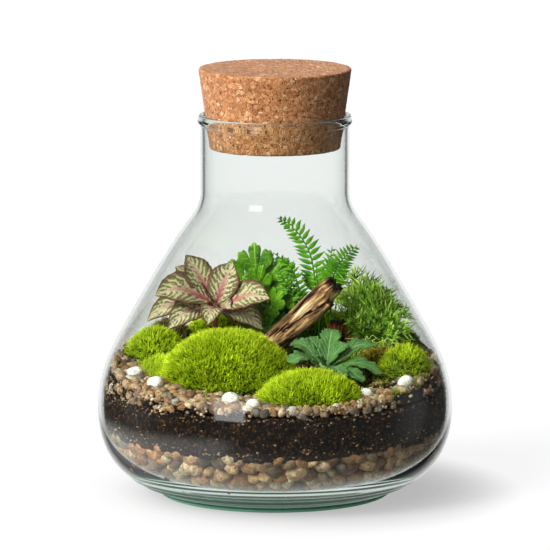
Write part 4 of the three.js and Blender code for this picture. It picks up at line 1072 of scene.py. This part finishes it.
# %% [markdown]
# ## Leaves
#
# A leaf is a grid: across it u goes from -1 to 1, along it v goes from 0 to 1. The rib is a smooth line,
# the edges stand off it by an outline, and the blade folds up from the rib and ripples at its edges.
# A flat card with a cut-out picture would be lighter, but it has no edge. So the grid gets half a
# millimetre of thickness, its map keeps u and v, and the veins are drawn on the map.

# %% Leaf surfaces
UP_FRONT = np.array([0, -0.75, 0.66])
ON_RIB = (0.5, 0.0)
ROOT_DEPTH = 16
RIPPLES = 3.2


def sheet(grid, thickness, u, v):
    """A closed leaf whose map keeps its u and v, on the upper side and on the lower side alike."""
    points, faces = thin_solid(grid, thickness)
    chart = gather((u + 1) / 2, v).reshape(-1, 2)
    return points, faces, np.concatenate([chart, chart])


def leaf(rib, side, half, fold=0.2, ripple=0.0, lead=0.0, across=9, thickness=0.55, seed=0):
    """rib(v) + across * half(v) * u + up * (fold * half * |u| + ripple) + ahead * lead * |u|."""
    line = smooth_line(rib, len(half))
    ahead = unit(np.gradient(line, axis=0))
    side = np.asarray(side, float)
    over = unit(side - (ahead @ side)[:, None] * ahead)
    up = np.cross(over, ahead)
    u, v = np.linspace(-1, 1, across), np.linspace(0, 1, len(half))[:, None]
    wave = ripple * u**2 * np.sin(2 * np.pi * (RIPPLES * v + 0.21 * seed) + (u > 0) * 1.7)
    rise = fold * half[:, None] * np.abs(u) ** 1.3 + wave
    grid = line[:, None] + over[:, None] * (half[:, None] * u)[..., None]
    grid = grid + up[:, None] * rise[..., None]
    grid = grid + ahead[:, None] * (lead * np.abs(u) * half[:, None])[..., None]
    return sheet(grid, thickness, u, v)


def stalk(start, end, radii, sag=1.5):
    """A thin round stalk that sags between its ends, mapped to the rib's colour at the leaf's base."""
    start, end = np.array(start, float), np.array(end, float)
    middle = (start + end) / 2 - [0, 0, sag]
    return painted(rod(smooth_line([start, middle, end], 9), np.linspace(*radii, 9), 7), ON_RIB)


def stem(x, y, crown, radius, extra=(), value=ON_RIB):
    """A main stem from its root in the soil, through the ground, to the crown."""
    ground = float(ground_top(x, y))
    line = smooth_line([(x, y, ground - ROOT_DEPTH), (x, y, ground), crown, *extra], 24)
    return painted(rod(line, radius, 10), value)


def face_side(base, tip, normal=UP_FRONT):
    """The way across a leaf that turns its face along the normal."""
    return unit(np.cross(unit(np.subtract(tip, base)), normal))


def rib_of(base, tip, arch):
    """From base to tip through a middle point that is raised by the arch."""
    base, tip = np.array(base, float), np.array(tip, float)
    return [base, base + 0.55 * (tip - base) + [0, 0, arch], tip]


print("triangles of one plain leaf:", len(leaf(np.eye(3), [1, 0, 0], np.ones(9))[1]))


# %% Leaf finishes
def leaf_finish(blade, dark, rib, spacing, strength, rough=0.45, edge=None, net=0.0, rib_width=0.05,
                heart=None, taper=0.0, wild=0.09):
    """A leaf with a soft gleam: side veins run from the rib to the edge as rib + rise * |u|, bent by
    noise and frayed, over a blotchy green. It may have a net of fine veins, a dark edge and a warm heart."""
    def build(tree):
        chart = add(tree, "ShaderNodeUVMap", uv_map="chart")
        place = add(tree, "ShaderNodeTexCoord").outputs["Object"]
        split = add(tree, "ShaderNodeSeparateXYZ", {0: chart}).outputs
        across, along = split["X"], split["Y"]
        centred = add(tree, "ShaderNodeMath", {0: across, 1: 0.5}, operation="SUBTRACT")
        off_rib = add(tree, "ShaderNodeMath", {0: centred}, operation="ABSOLUTE")
        wobble = add(tree, "ShaderNodeTexNoise", {"Vector": place, "Scale": 260.0, "Detail": 3.0})
        rise = add(tree, "ShaderNodeMath", {0: off_rib, 1: -0.62, 2: along}, operation="MULTIPLY_ADD")
        bent = add(tree, "ShaderNodeMath", {0: wobble, 1: wild, 2: rise}, operation="MULTIPLY_ADD")
        turn = add(tree, "ShaderNodeMath", {0: bent, 1: float(spacing)}, operation="MULTIPLY")
        away = add(tree, "ShaderNodeMath", {0: turn, 1: 0.5}, operation="PINGPONG")
        width = add(tree, "ShaderNodeMath", {0: off_rib, 1: -taper, 2: strength}, operation="MULTIPLY_ADD")
        ratio = add(tree, "ShaderNodeMath", {0: away, 1: width}, operation="DIVIDE")
        fine = add(tree, "ShaderNodeTexNoise", {"Vector": place, "Scale": 750.0, "Detail": 2.0})
        frayed = add(tree, "ShaderNodeMath", {0: fine, 1: 30 * wild, 2: ratio}, operation="MULTIPLY_ADD")
        eased = add(tree, "ShaderNodeMath", {0: frayed, 1: 15 * wild}, operation="SUBTRACT")
        vein = add(tree, "ShaderNodeMapRange", {
            "Value": eased, "From Min": 0.5, "From Max": 1.2, "To Min": 1.0, "To Max": 0.0})
        middle = add(tree, "ShaderNodeMapRange", {
            "Value": off_rib, "From Min": rib_width * 0.4, "From Max": rib_width, "To Min": 1.0,
            "To Max": 0.0})
        cells = add(tree, "ShaderNodeTexVoronoi", {"Vector": place, "Scale": 520.0},
                    feature="DISTANCE_TO_EDGE")
        mesh_line = add(tree, "ShaderNodeMapRange", {
            "Value": cells.outputs["Distance"], "From Min": 0.03, "From Max": 0.16, "To Min": net,
            "To Max": 0.0})
        veins = add(tree, "ShaderNodeMath", {0: vein, 1: middle}, operation="MAXIMUM")
        netted = add(tree, "ShaderNodeMath", {0: veins, 1: mesh_line}, operation="MAXIMUM")
        blotch = add(tree, "ShaderNodeTexNoise", {"Vector": place, "Scale": 150.0, "Detail": 4.0})
        green = add(tree, "ShaderNodeValToRGB", {"Fac": blotch}, stops=[(0.35, dark), (0.65, blade)])
        shown = add(tree, "ShaderNodeMix", {"Factor": netted, 6: green, 7: colour(rib)},
                    data_type="RGBA").outputs[2]
        if edge:
            margin = add(tree, "ShaderNodeMapRange", {"Value": off_rib, "From Min": 0.33, "From Max": 0.49})
            shown = add(tree, "ShaderNodeMix", {"Factor": margin, 6: shown, 7: colour(edge)},
                        data_type="RGBA").outputs[2]
        if heart:
            low = add(tree, "ShaderNodeMath", {0: off_rib, 1: 3.6, 2: along}, operation="MULTIPLY_ADD")
            warm = add(tree, "ShaderNodeMapRange", {
                "Value": low, "From Min": 0.2, "From Max": 0.95, "To Min": 0.9, "To Max": 0.0})
            shown = add(tree, "ShaderNodeMix", {"Factor": warm, 6: shown, 7: colour(heart)},
                        data_type="RGBA").outputs[2]
        sunk = add(tree, "ShaderNodeMath", {0: blotch, 1: netted}, operation="SUBTRACT")
        bump = add(tree, "ShaderNodeBump", {"Height": sunk, "Strength": 0.5, "Distance": 0.0005})
        return add(tree, "ShaderNodeBsdfPrincipled", {
            "Base Color": shown, "Roughness": rough, "Normal": bump})
    return build


# Nerve plant: pale stripes and a crimson heart on olive, the only red in the jar
nerve_finish = material("nerve_leaf_veined", leaf_finish(
    "#717e34", "#4e5226", "#cdbd98", 8, 0.5, 0.42, edge="#66382e", net=0.15, rib_width=0.06,
    heart="#a41e4a", taper=0.86, wild=0.15))
# The three plain greens: fresh and warm, lighter and crisp, and blue-green with a dull bloom
lobed_finish = material("lobed_leaf_fresh", leaf_finish(
    "#6ea41c", "#35700c", "#98c644", 5, 0.05, 0.4, rib_width=0.02))
fern_finish = material("fern_leaflet_fresh", leaf_finish(
    "#82c62e", "#4c9418", "#3f7d1a", 9, 0.04, 0.45, rib_width=0.05))
rosette_finish = material("rosette_leaf_bloomed", leaf_finish(
    "#54823e", "#37602a", "#88aa68", 6, 0.06, 0.55, rib_width=0.04))
# Needles: dark towards the rib and yellow-green at the tips, as the moss blades are: partly their own
# colour and partly painted shade inside the sprays
needle_finish = material("needle_foliage", moss_finish("#32560e", "#86b430", "#d6ea70"))
for finish in (nerve_finish, lobed_finish, fern_finish, rosette_finish, needle_finish):
    print("finish:", finish.name)

# %% [markdown]
# ## Nerve plant
#
# Its leaves are oval and pointed. Broad pale veins fan out from a crimson rib, the green between them
# is olive, and the edge is a dark wine brown. Copies of one leaf would show, so each leaf has its own
# base, tip, half width and arch, and its own ripple.

# %% Nerve plant
NERVE_CROWN = (-34, 17, 100)
STEM_RADIUS, STALK_RADII = 1.5, (0.8, 0.6)
# Each row: base and tip in mm, half width and arch
nerve_leaves = [
    ((-38, 17, 113), (-51, 19, 132), 7.5, 1), ((-45, 20, 112), (-57, 22, 125), 6, 2),
    ((-39, 13, 110), (-68, 6, 111), 9.5, 5), ((-33, 15, 107), (-24, 17, 128), 8.5, 1),
    ((-27, 12, 105), (-3, 3, 109), 8.5, 4), ((-33, 10, 104), (-38, -2, 95), 6, 4),
    ((-40, 13, 102), (-60, 2, 92), 7.5, 5), ((-46, 18, 104), (-73, 14, 95), 7, 6),
    ((-28, 14, 100), (-7, 11, 90), 7, 5), ((-43, 23, 106), (-61, 34, 104), 8, 5),
    ((-37, 26, 106), (-42, 46, 107), 8, 5), ((-34, 14, 104), (-37, 5, 108), 5, 1),
    ((-32, 14, 105), (-25, 7, 103), 5, 1), ((-37, 16, 106), (-46, 10, 102), 5, 1)]

nerve_parts = [stem(-34, 20, NERVE_CROWN, STEM_RADIUS, [(-34, 17, 104)])]
v = np.linspace(0, 1, 30)
oval = np.sin(np.pi * v**0.85) ** 0.8 * (1 - 0.3 * v**8) * (1 + 0.03 * np.sin(60 * v))
for number, (base, tip_point, half, arch) in enumerate(nerve_leaves):
    outline = np.maximum(0.25, 1.12 * half * oval)
    base = tuple(np.array(base) + 0.4 * (np.array(NERVE_CROWN) - base))
    nerve_parts.append(leaf(rib_of(base, tip_point, arch), face_side(base, tip_point), outline,
                            fold=0.22, ripple=0.45, across=13, thickness=0.5, seed=number))
    nerve_parts.append(stalk(NERVE_CROWN, base, STALK_RADII))
piece("nerve_plant_leaves", together(nerve_parts), nerve_finish, ["nerve_plant"], carries="chart")

# %% [markdown]
# ## Lobed plant
#
# A bushy plant with soft leaves cut into blunt lobes. A flat outline filled with faces would fold badly,
# so the leaf spreads from its base like a fan: its reach at an angle a is its length, shorter to the
# sides, times a row of round lobes made by |cos|. Smaller leaves stand in pairs along each stalk.

# %% Lobed plant
LOBED_CROWN = (-9, 40, 92)
LOBE_TURN = np.radians(64)
# Where the small leaves stand along a stalk, and on which side
SIDE_LEAVES = ((0.45, -1), (0.5, 1), (0.75, -1), (0.8, 1))
# Each row: base and tip in mm, and half width
lobed_leaves = [
    ((-11, 39, 116), (-12, 37, 137), 8.5), ((-17, 39, 112), (-33, 36, 124), 7.5),
    ((-17, 36, 106), (-28, 33, 113), 6), ((-5, 40, 113), (5, 39, 128), 7),
    ((-3, 38, 107), (9, 33, 115), 6), ((-9, 34, 104), (-10, 26, 114), 6),
    ((-14, 45, 110), (-24, 58, 116), 7), ((-6, 46, 108), (-4, 62, 111), 7),
    ((-12, 31, 104), (-16, 25, 117), 6), ((-2, 32, 100), (4, 26, 110), 6),
    ((-20, 31, 100), (-31, 28, 105), 5.5), ((-4, 30, 94), (2, 22, 98), 5.5),
    ((3, 36, 102), (14, 32, 106), 5.5), ((-13, 28, 94), (-18, 21, 98), 5),
    ((2, 40, 118), (12, 40, 124), 5.5), ((-6, 27, 88), (1, 21, 92), 5),
    ((0, 30, 89), (9, 26, 95), 5), ((5, 35, 92), (16, 33, 98), 5.5),
    ((-14, 27, 87), (-20, 20, 90), 5), ((-22, 40, 104), (-36, 42, 110), 6),
    ((-10, 40, 108), (-7, 33, 124), 6), ((3, 38, 93), (8, 34, 102), 5.5)]


def fan_leaf(base, tip_point, half, seed, rows=9, columns=37):
    """base + r * reach(a) * (ahead * cos a + across * sin a), cupped a little, with blunt lobes."""
    base, tip_point = np.array(base, float), np.array(tip_point, float)
    length = np.linalg.norm(tip_point - base)
    ahead, over = unit(tip_point - base), face_side(base, tip_point)
    up = np.cross(over, ahead)
    a = np.linspace(-1, 1, columns)
    r = np.linspace(0.03, 1, rows)[:, None]
    lobes = 0.37 * np.abs(np.cos(1.5 * np.pi * a)) ** 0.45
    notches = 0.07 * np.abs(np.cos(4.5 * np.pi * a))
    reach = length * (0.95 - 0.04 * a**2) * (0.56 + lobes + notches)
    forward, sideways = plan(r * reach, LOBE_TURN * a)
    sideways = sideways * (1.3 * half / (0.72 * length))
    rise = 0.1 * length * r**2 * (a**2 + 0.12 * np.sin(5 * np.pi * a + seed)) - 0.08 * length * r**3
    grid = base + forward[..., None] * ahead + sideways[..., None] * over + rise[..., None] * up
    return sheet(grid, 0.5, a, r)


lobed_parts = [stem(-8, 42, LOBED_CROWN, STEM_RADIUS, [(-9, 40, 96)])]
for number, (base, tip_point, half) in enumerate(lobed_leaves):
    lobed_parts.append(fan_leaf(base, tip_point, half, number))
    lobed_parts.append(stalk(LOBED_CROWN, base, STALK_RADII))
    for share, hand in SIDE_LEAVES:
        low = np.array(LOBED_CROWN) + share * (np.array(base) - LOBED_CROWN)
        beside = low + face_side(base, tip_point) * hand * 0.95 * half + 0.35 * np.subtract(tip_point, base)
        lobed_parts.append(fan_leaf(low, beside, 0.6 * half, number + 5, rows=6, columns=25))
piece("lobed_leaves", together(lobed_parts), lobed_finish, ["lobed_leaf_plant"], carries="chart")

# %% [markdown]
# ## Ferns
#
# A frond is a rib that bends over, with pairs of toothed leaflets that shorten towards the tip. Copies
# along a curve would keep one leaflet's shape, so each leaflet is grown at its own place, length and
# droop. Three fronds carry a second, lower one from the same root.

# %% Ferns
LEAFLET_SIDE = np.array([0.9, -0.35, 0.2])
RIB_STEPS = 200
# Each row: root on the ground, points that the rib goes through, longest leaflet, pairs of leaflets
fronds = {
    "fern_frond_1": ((24, 46), [(23, 44, 113), (20, 43, 129), (12, 42, 142), (1, 41, 149)], 10, 18),
    "fern_frond_2": ((32, 41), [(32, 38, 112), (37, 32, 125), (47, 23, 137)], 9.5, 19),
    "fern_frond_3": ((19, 39), [(14, 36, 109), (9, 34, 122), (-1, 32, 131)], 6.5, 11),
    "fern_frond_4": ((33, 50), [(36, 52, 104), (38, 50, 116), (37, 42, 126)], 7.5, 11),
    "fern_frond_5": ((16, 50), [(12, 54, 104), (6, 55, 118), (-4, 51, 127)], 7.5, 11)}
side_fronds = {
    "fern_frond_1": ((25, 45), [(27, 42, 108), (31, 40, 122), (33, 36, 134)], 7, 11),
    "fern_frond_2": ((32, 40), [(27, 34, 104), (24, 30, 116), (24, 27, 127)], 6, 10),
    "fern_frond_3": ((18, 38), [(12, 34, 104), (6, 30, 114), (2, 27, 122)], 6, 10)}


def frond(root, through, longest, pairs, seed):
    """A rib with pairs of leaflets: each lances forward and droops, and shortens towards the tip."""
    draw = chance(seed)
    foot = np.array([*root, float(ground_top(*root))])
    low = foot + 0.8 * (np.array(through[0]) - foot)
    line = smooth_line([foot - ROOT_DEPTH * UP, foot, low, *through], 60)
    parts = [painted(rod(line, np.linspace(0.75, 0.22, 60), 7), [0.5, 0.3])]
    rib = smooth_line([low, *through], RIB_STEPS)
    ahead = unit(np.gradient(rib, axis=0))
    v = np.linspace(0, 1, 15)
    lance = np.sin(np.pi * np.clip(v, 0.04, 0.97) ** 0.7) * (0.82 + 0.18 * np.abs(np.sin(7 * np.pi * v)))
    for k in range(2 * pairs):
        share = 0.05 + 0.93 * ((k // 2) + 0.5 * (k % 2)) / pairs
        spot = int(share * (RIB_STEPS - 1))
        forward = ahead[spot]
        side = unit(LEAFLET_SIDE - np.dot(LEAFLET_SIDE, forward) * forward)
        up = np.cross(side, forward)
        hand = 1 if k % 2 else -1
        length = longest * np.sin(np.pi * (0.3 + 0.64 * share)) ** 0.8 * draw.uniform(0.92, 1.05)
        out = unit(side * hand + forward * 0.42 + up * draw.normal(0, 0.07))
        end = rib[spot] + out * length - up * 0.12 * length
        half = 0.15 * longest * lance * (0.45 + 0.55 * length / longest)
        middle = (rib[spot] + end) / 2 + up * 0.05 * length
        parts.append(leaf([rib[spot], middle, end], forward * hand, half, fold=0.15, across=5, thickness=0.4))
    return together(parts)


for number, (name, row) in enumerate(fronds.items()):
    shape = frond(*row, 70 + number)
    if name in side_fronds:
        shape = together([shape, frond(*side_fronds[name], 90 + number)])
    piece(name + "_leaflets", shape, fern_finish, [name], carries="chart")

# %% [markdown]
# ## Feathery plant
#
# A fan of fine sprays like an asparagus fern. Flat cards with needles drawn on them would be lighter,
# but they vanish when seen edge on. So each spray is a rib with side twigs in one plane, and curved
# closed spikes stand along all of them. A few low blades of the same green grow at its foot.

# %% Feathery plant
FEATHER_CROWN = np.array([52, 20, 80.0])
SPRAY_STEPS, TWIG_STEPS, TWIGS = 80, 12, 10
LOW_BLADES = 22
# Each row: tip of a spray in mm and length of its needles
spray_tips = [
    ((45, 23, 122), 6), ((54, 19, 118), 6), ((62, 14, 113), 6), ((69, 9, 107), 5.5), ((75, 4, 102), 5),
    ((76, -4, 93), 5), ((60, 38, 110), 6), ((49, 16, 112), 5.5), ((58, 12, 108), 5.5), ((65, 8, 101), 5),
    ((70, 4, 96), 5), ((68, -4, 90), 4.5), ((50, 28, 112), 5.5), ((66, 24, 106), 5), ((60, 4, 98), 4.5),
    ((41, 24, 110), 5), ((40, 17, 101), 4.5), ((45, 9, 96), 4.5), ((54, 3, 92), 4.5), ((37, 31, 106), 5)]


def spray(tip_point, needle, seed):
    """A rib that bends over to its tip, side twigs in one plane, and spikes along all of them."""
    draw = chance(seed)
    lead = np.array(tip_point) - FEATHER_CROWN
    bend = FEATHER_CROWN + 0.45 * lead + [0, 0, 0.12 * np.linalg.norm(lead)]
    rib = smooth_line([FEATHER_CROWN - 3 * UP, bend, tip_point], SPRAY_STEPS)
    side = unit(np.cross(lead, [0, -1, 0.25]))
    # Each twig: its line, its radii, its number of needles, where they start and how long they are
    twigs = [(rib, np.linspace(0.55, 0.16, SPRAY_STEPS), 23, 0.35, 1.05)]
    along = np.linspace(0, 1, TWIG_STEPS)
    for k in range(TWIGS):
        spot = 24 + 5 * k
        forward = unit(rib[spot + 1] - rib[spot])
        hand = 1 if k % 2 else -1
        out = unit(forward * 0.9 + side * hand * 0.75 + draw.normal(0, 0.14, 3))
        length = needle * 2.0 * np.sin(np.pi * (0.25 + 0.7 * spot / SPRAY_STEPS))
        twig = rib[spot] + out * (along * length)[:, None]
        twig = twig + forward * (along**2 * 0.25 * length)[:, None]
        twigs.append((twig, np.linspace(0.25, 0.1, TWIG_STEPS), 8, 0.1, 0.85))
    parts = []
    for line, radii, count, first, longest in twigs:
        parts.append(painted(rod(line, radii, 5), 0.35))
        share = np.sort(draw.uniform(first, 1, count))
        spot = np.minimum((share * (len(line) - 1)).astype(int), len(line) - 2)
        forward = unit(line[spot + 1] - line[spot])
        hands = np.where(np.arange(count) % 2, 1, -1)[:, None]
        out = unit(forward * 0.95 + side * hands * 0.8 + draw.normal(0, 0.22, (count, 3)))
        lengths = longest * needle * draw.uniform(0.6, 1.0, count)
        points, faces = spikes(line[spot], out, lengths, np.full(count, 0.72), forward * 0.45)
        # Darker near each twig's start and at each spike's base: partly painted shade inside the spray
        tone = np.repeat(0.28 + 0.6 * share + draw.normal(0, 0.12, count), len(spike_points))
        parts.append((points, faces, tone * np.tile([0.75, 0.75, 0.75, 0.9, 0.9, 0.9, 1.1], count)))
    return together(parts)


feather_parts = [stem(52, 21, FEATHER_CROWN, 1.6, value=0.3)]
feather_parts += [spray(tip_point, needle, 80 + k) for k, (tip_point, needle) in enumerate(spray_tips)]
draw = chance(95)
for _ in range(LOW_BLADES):
    foot = np.array([draw.uniform(44, 66), draw.uniform(0, 16), 0])
    foot[2] = ground_top(foot[0], foot[1]) - 1
    away = np.array([draw.normal(2, 9), draw.normal(-9, 5), 0])
    knee = foot + 0.35 * away + [0, 0, draw.uniform(9, 14)]
    blade = smooth_line([foot, knee, foot + away + [0, 0, draw.uniform(4, 15)]], 16)
    feather_parts.append(painted(rod(blade, np.linspace(0.5, 0.12, 16), 4), draw.uniform(0.7, 1.0)))
piece("feathery_sprays", together(feather_parts), needle_finish, ["feathery_plant"], carries="tone",
      smooth=False)

# %% [markdown]
# ## Rosette
#
# A low star of blue-green leaves with toothed edges stands in front of the driftwood. The teeth could
# be cut out of a plain leaf, but as a saw-tooth in the outline they fold and ripple with the blade. The
# leaves grow from one crown, and each has its own length and arch.

# %% Rosette
ROSETTE_CROWN = (28, -30, 74)
TEETH = 6.2
# Each row: base and tip in mm, half width and arch
rosette_leaves = [
    ((25, -28, 78), (10, -20, 88), 6.5, 3), ((25, -31, 76), (8, -38, 80), 6.5, 4),
    ((29, -27, 78), (32, -18, 95), 6.5, 2), ((31, -29, 77), (56, -20, 87), 7, 4),
    ((31, -31, 75), (59, -35, 73), 6.5, 5), ((29, -33, 76), (38, -49, 73), 5.5, 3),
    ((31, -32, 75), (49, -46, 71), 5, 3), ((28, -31, 77), (22, -40, 84), 4, 2),
    ((27, -27, 78), (19, -15, 90), 5.5, 2), ((30, -30, 78), (40, -26, 88), 4.5, 2)]
rosette_parts = [stem(28, -30, (28, -30, 77), STEM_RADIUS)]
v = np.linspace(0, 1, 64)
teeth = 1 - 0.3 * (1 - (v * TEETH + 0.4) % 1) * ease(0.05, 0.2, v)
for number, (base, tip_point, half, arch) in enumerate(rosette_leaves):
    full = 1.2 * half * np.sin(np.pi * np.clip(0.06 + 0.92 * v, 0, 0.985)) ** 0.6
    outline = np.maximum(0.3, full * teeth * (0.7 + 0.3 * v))
    side = unit(np.cross(np.subtract(tip_point, base), [0, -0.3, 1]))
    rosette_parts.append(leaf(rib_of(base, tip_point, arch), side, outline, fold=0.16, ripple=0.5, lead=0.35,
                              across=13, thickness=0.6, seed=number))
    rosette_parts.append(stalk(ROSETTE_CROWN, base, (1.0, 0.8), 0.3))
piece("rosette_leaves", together(rosette_parts), rosette_finish, ["toothed_rosette"], carries="chart")

# %% [markdown]
# ## Room
#
# The jar stands on white paper that runs out of sight, in even daylight from the upper left. Clear glass
# shows only what is around it, so the world answers each ray by its path. To the camera it is white. To
# the glass it is a mostly dark room with a white back wall, paper that is lit most on the left, and one
# window that leaves a highlight on the shoulder. A ray that has crossed the whole jar sees white again,
# and light that bounces between the plants comes softly from the left. Lamps and boards around the jar
# could do the same, but each would show in the glass or light the floor.

# %% Paper floor
FLOOR_HALF = 8
floor_mesh = bpy.data.meshes.new("paper_floor")
floor_corners = [(x * FLOOR_HALF, y * FLOOR_HALF, 0) for x, y in ((-1, -1), (1, -1), (1, 1), (-1, 1))]
floor_mesh.from_pydata(floor_corners, [], [(0, 1, 2, 3)])
floor = bpy.data.objects.new("paper_floor", floor_mesh)
bpy.context.collection.objects.link(floor)


def lit_paper(tree):
    """White paper that glows evenly, with a painted soft shadow close to the jar and mostly on its right:
    its glow is dimmed by occlusion from nearby shapes.
    """
    lean = add(tree, "ShaderNodeCombineXYZ", {0: -0.75, 1: -0.2, 2: 0.6})
    # Painted shadow: occlusion, leaned to the left, dims the glow near the jar
    shade = add(tree, "ShaderNodeAmbientOcclusion", {"Distance": 0.052, "Normal": lean}, samples=8)
    glow = add(tree, "ShaderNodeMapRange", {
        "Value": shade.outputs["AO"], "From Min": 0.3, "From Max": 0.95, "To Min": 0.45, "To Max": 0.88})
    return add(tree, "ShaderNodeBsdfPrincipled", {
        "Base Color": colour("#5a5a5a"), "Roughness": 0.9, "Specular IOR Level": 0.1,
        "Emission Color": colour("#ffffff"), "Emission Strength": glow})


floor_mesh.materials.append(material("white_paper", lit_paper))
floor.visible_glossy = False
floor.visible_transmission = False
floor.visible_diffuse = False
print("paper floor in metres:", 2 * FLOOR_HALF)

# %% World
WINDOW_MIDDLE, WINDOW_HALF = (-0.485, -0.85, 0.19), (0.165, 0.4, 0.16)

world = bpy.data.worlds.new("white_room")
bpy.context.scene.world = world
world.use_nodes = True
room = world.node_tree
room.nodes.clear()
direction = add(room, "ShaderNodeTexCoord").outputs["Generated"]
path = add(room, "ShaderNodeLightPath").outputs
split = add(room, "ShaderNodeSeparateXYZ", {0: direction}).outputs
to_right, to_back, to_top = split["X"], split["Y"], split["Z"]
to_side = add(room, "ShaderNodeMath", {0: to_right}, operation="ABSOLUTE")
off_middle = add(room, "ShaderNodeVectorMath", {0: direction, 1: WINDOW_MIDDLE}, operation="SUBTRACT")
off_size = add(room, "ShaderNodeVectorMath", {0: off_middle, 1: WINDOW_HALF}, operation="DIVIDE")
off_frame = add(room, "ShaderNodeVectorMath", {0: off_size}, operation="ABSOLUTE")
off = add(room, "ShaderNodeSeparateXYZ", {0: off_frame}).outputs
widest = add(room, "ShaderNodeMath", {0: off["X"], 1: off["Y"]}, operation="MAXIMUM")
furthest = add(room, "ShaderNodeMath", {0: widest, 1: off["Z"]}, operation="MAXIMUM")

# Each fade: what it follows, where it starts and ends on that, and the light at its two ends
FADE_INPUTS = ("Value", "From Min", "From Max", "To Min", "To Max")
fades = {
    "panel": (to_side, 0.3, 0.55, 1.0, 0.02),
    "far side": (to_side, 0.85, 1.0, 0.0, 0.2),
    "behind": (to_back, -0.2, 0.25, 0.015, 1.0),
    "down": (to_top, -0.65, -0.35, 1.0, 0.0),
    "from left": (to_right, -0.4, 0.5, 0.95, 0.4),
    "beside": (to_right, -0.6, -0.1, 1.0, 0.3),
    "below": (to_top, -0.34, -0.18, 1.0, 0.0),
    "at left": (to_right, -0.6, -0.38, 0.9, 0.0),
    "window": (furthest, 0.82, 1.0, 2.8, 0.0),
    "soft": (to_right, -1.0, 0.8, 0.75, 0.1)}
light = {}
for name, values in fades.items():
    light[name] = add(room, "ShaderNodeMapRange", dict(zip(FADE_INPUTS, values)))

mirrored = add(room, "ShaderNodeMath", {0: path["Glossy Depth"], 1: 0.5}, operation="GREATER_THAN")
light["dimmed"] = add(room, "ShaderNodeMix", {"Factor": mirrored, 2: 1.0, 3: light["beside"]})
light["crossed"] = add(room, "ShaderNodeMath", {0: path["Transmission Depth"], 1: 3.5},
                       operation="GREATER_THAN")
# Each step joins two lights: a product needs both, and a maximum takes the brighter one
steps = (
    ("walls", "panel", "MAXIMUM", "far side"),
    ("back wall", "walls", "MULTIPLY", "behind"),
    ("lit table", "down", "MULTIPLY", "from left"),
    ("table", "lit table", "MULTIPLY", "dimmed"),
    ("sunny paper", "below", "MULTIPLY", "at left"),
    ("paper", "table", "MAXIMUM", "sunny paper"),
    ("reflected", "back wall", "MAXIMUM", "paper"),
    ("clear view", "reflected", "MAXIMUM", "crossed"),
    ("in glass", "clear view", "MAXIMUM", "window"))
for name, first, operation, second in steps:
    light[name] = add(room, "ShaderNodeMath", {0: light[first], 1: light[second]}, operation=operation)

bounced = add(room, "ShaderNodeMath", {0: path["Diffuse Depth"], 1: 0.5}, operation="GREATER_THAN")
unseen = add(room, "ShaderNodeMix", {"Factor": bounced, 2: light["in glass"], 3: light["soft"]})
strength = add(room, "ShaderNodeMath", {0: unseen, 1: path["Is Camera Ray"]}, operation="MAXIMUM")
glow = add(room, "ShaderNodeBackground", {"Color": (1, 1, 1, 1), "Strength": strength})
add(room, "ShaderNodeOutputWorld", {"Surface": glow})
print("parts of the room's light:", len(light))


# %% Daylight
def daylight(name, toward, strength, spread):
    """Light from far away that shines along one direction; spread is its softness as an angle."""
    data = bpy.data.lights.new(name, "SUN")
    data.energy = strength
    data.angle = spread
    made = bpy.data.objects.new(name, data)
    made.rotation_euler = Vector(toward).to_track_quat("-Z", "Y").to_euler()
    made.visible_glossy = False
    made.visible_transmission = False
    bpy.context.collection.objects.link(made)


# A firm light from the window at the upper left, and a weak one from the front that opens the shadows
daylight("window_light", (0.84, 0.64, -0.85), strength=4.0, spread=0.35)
daylight("front_fill", (0.7, 0.7, -0.35), strength=1.3, spread=0.9)
print("lights:", len(bpy.data.lights))
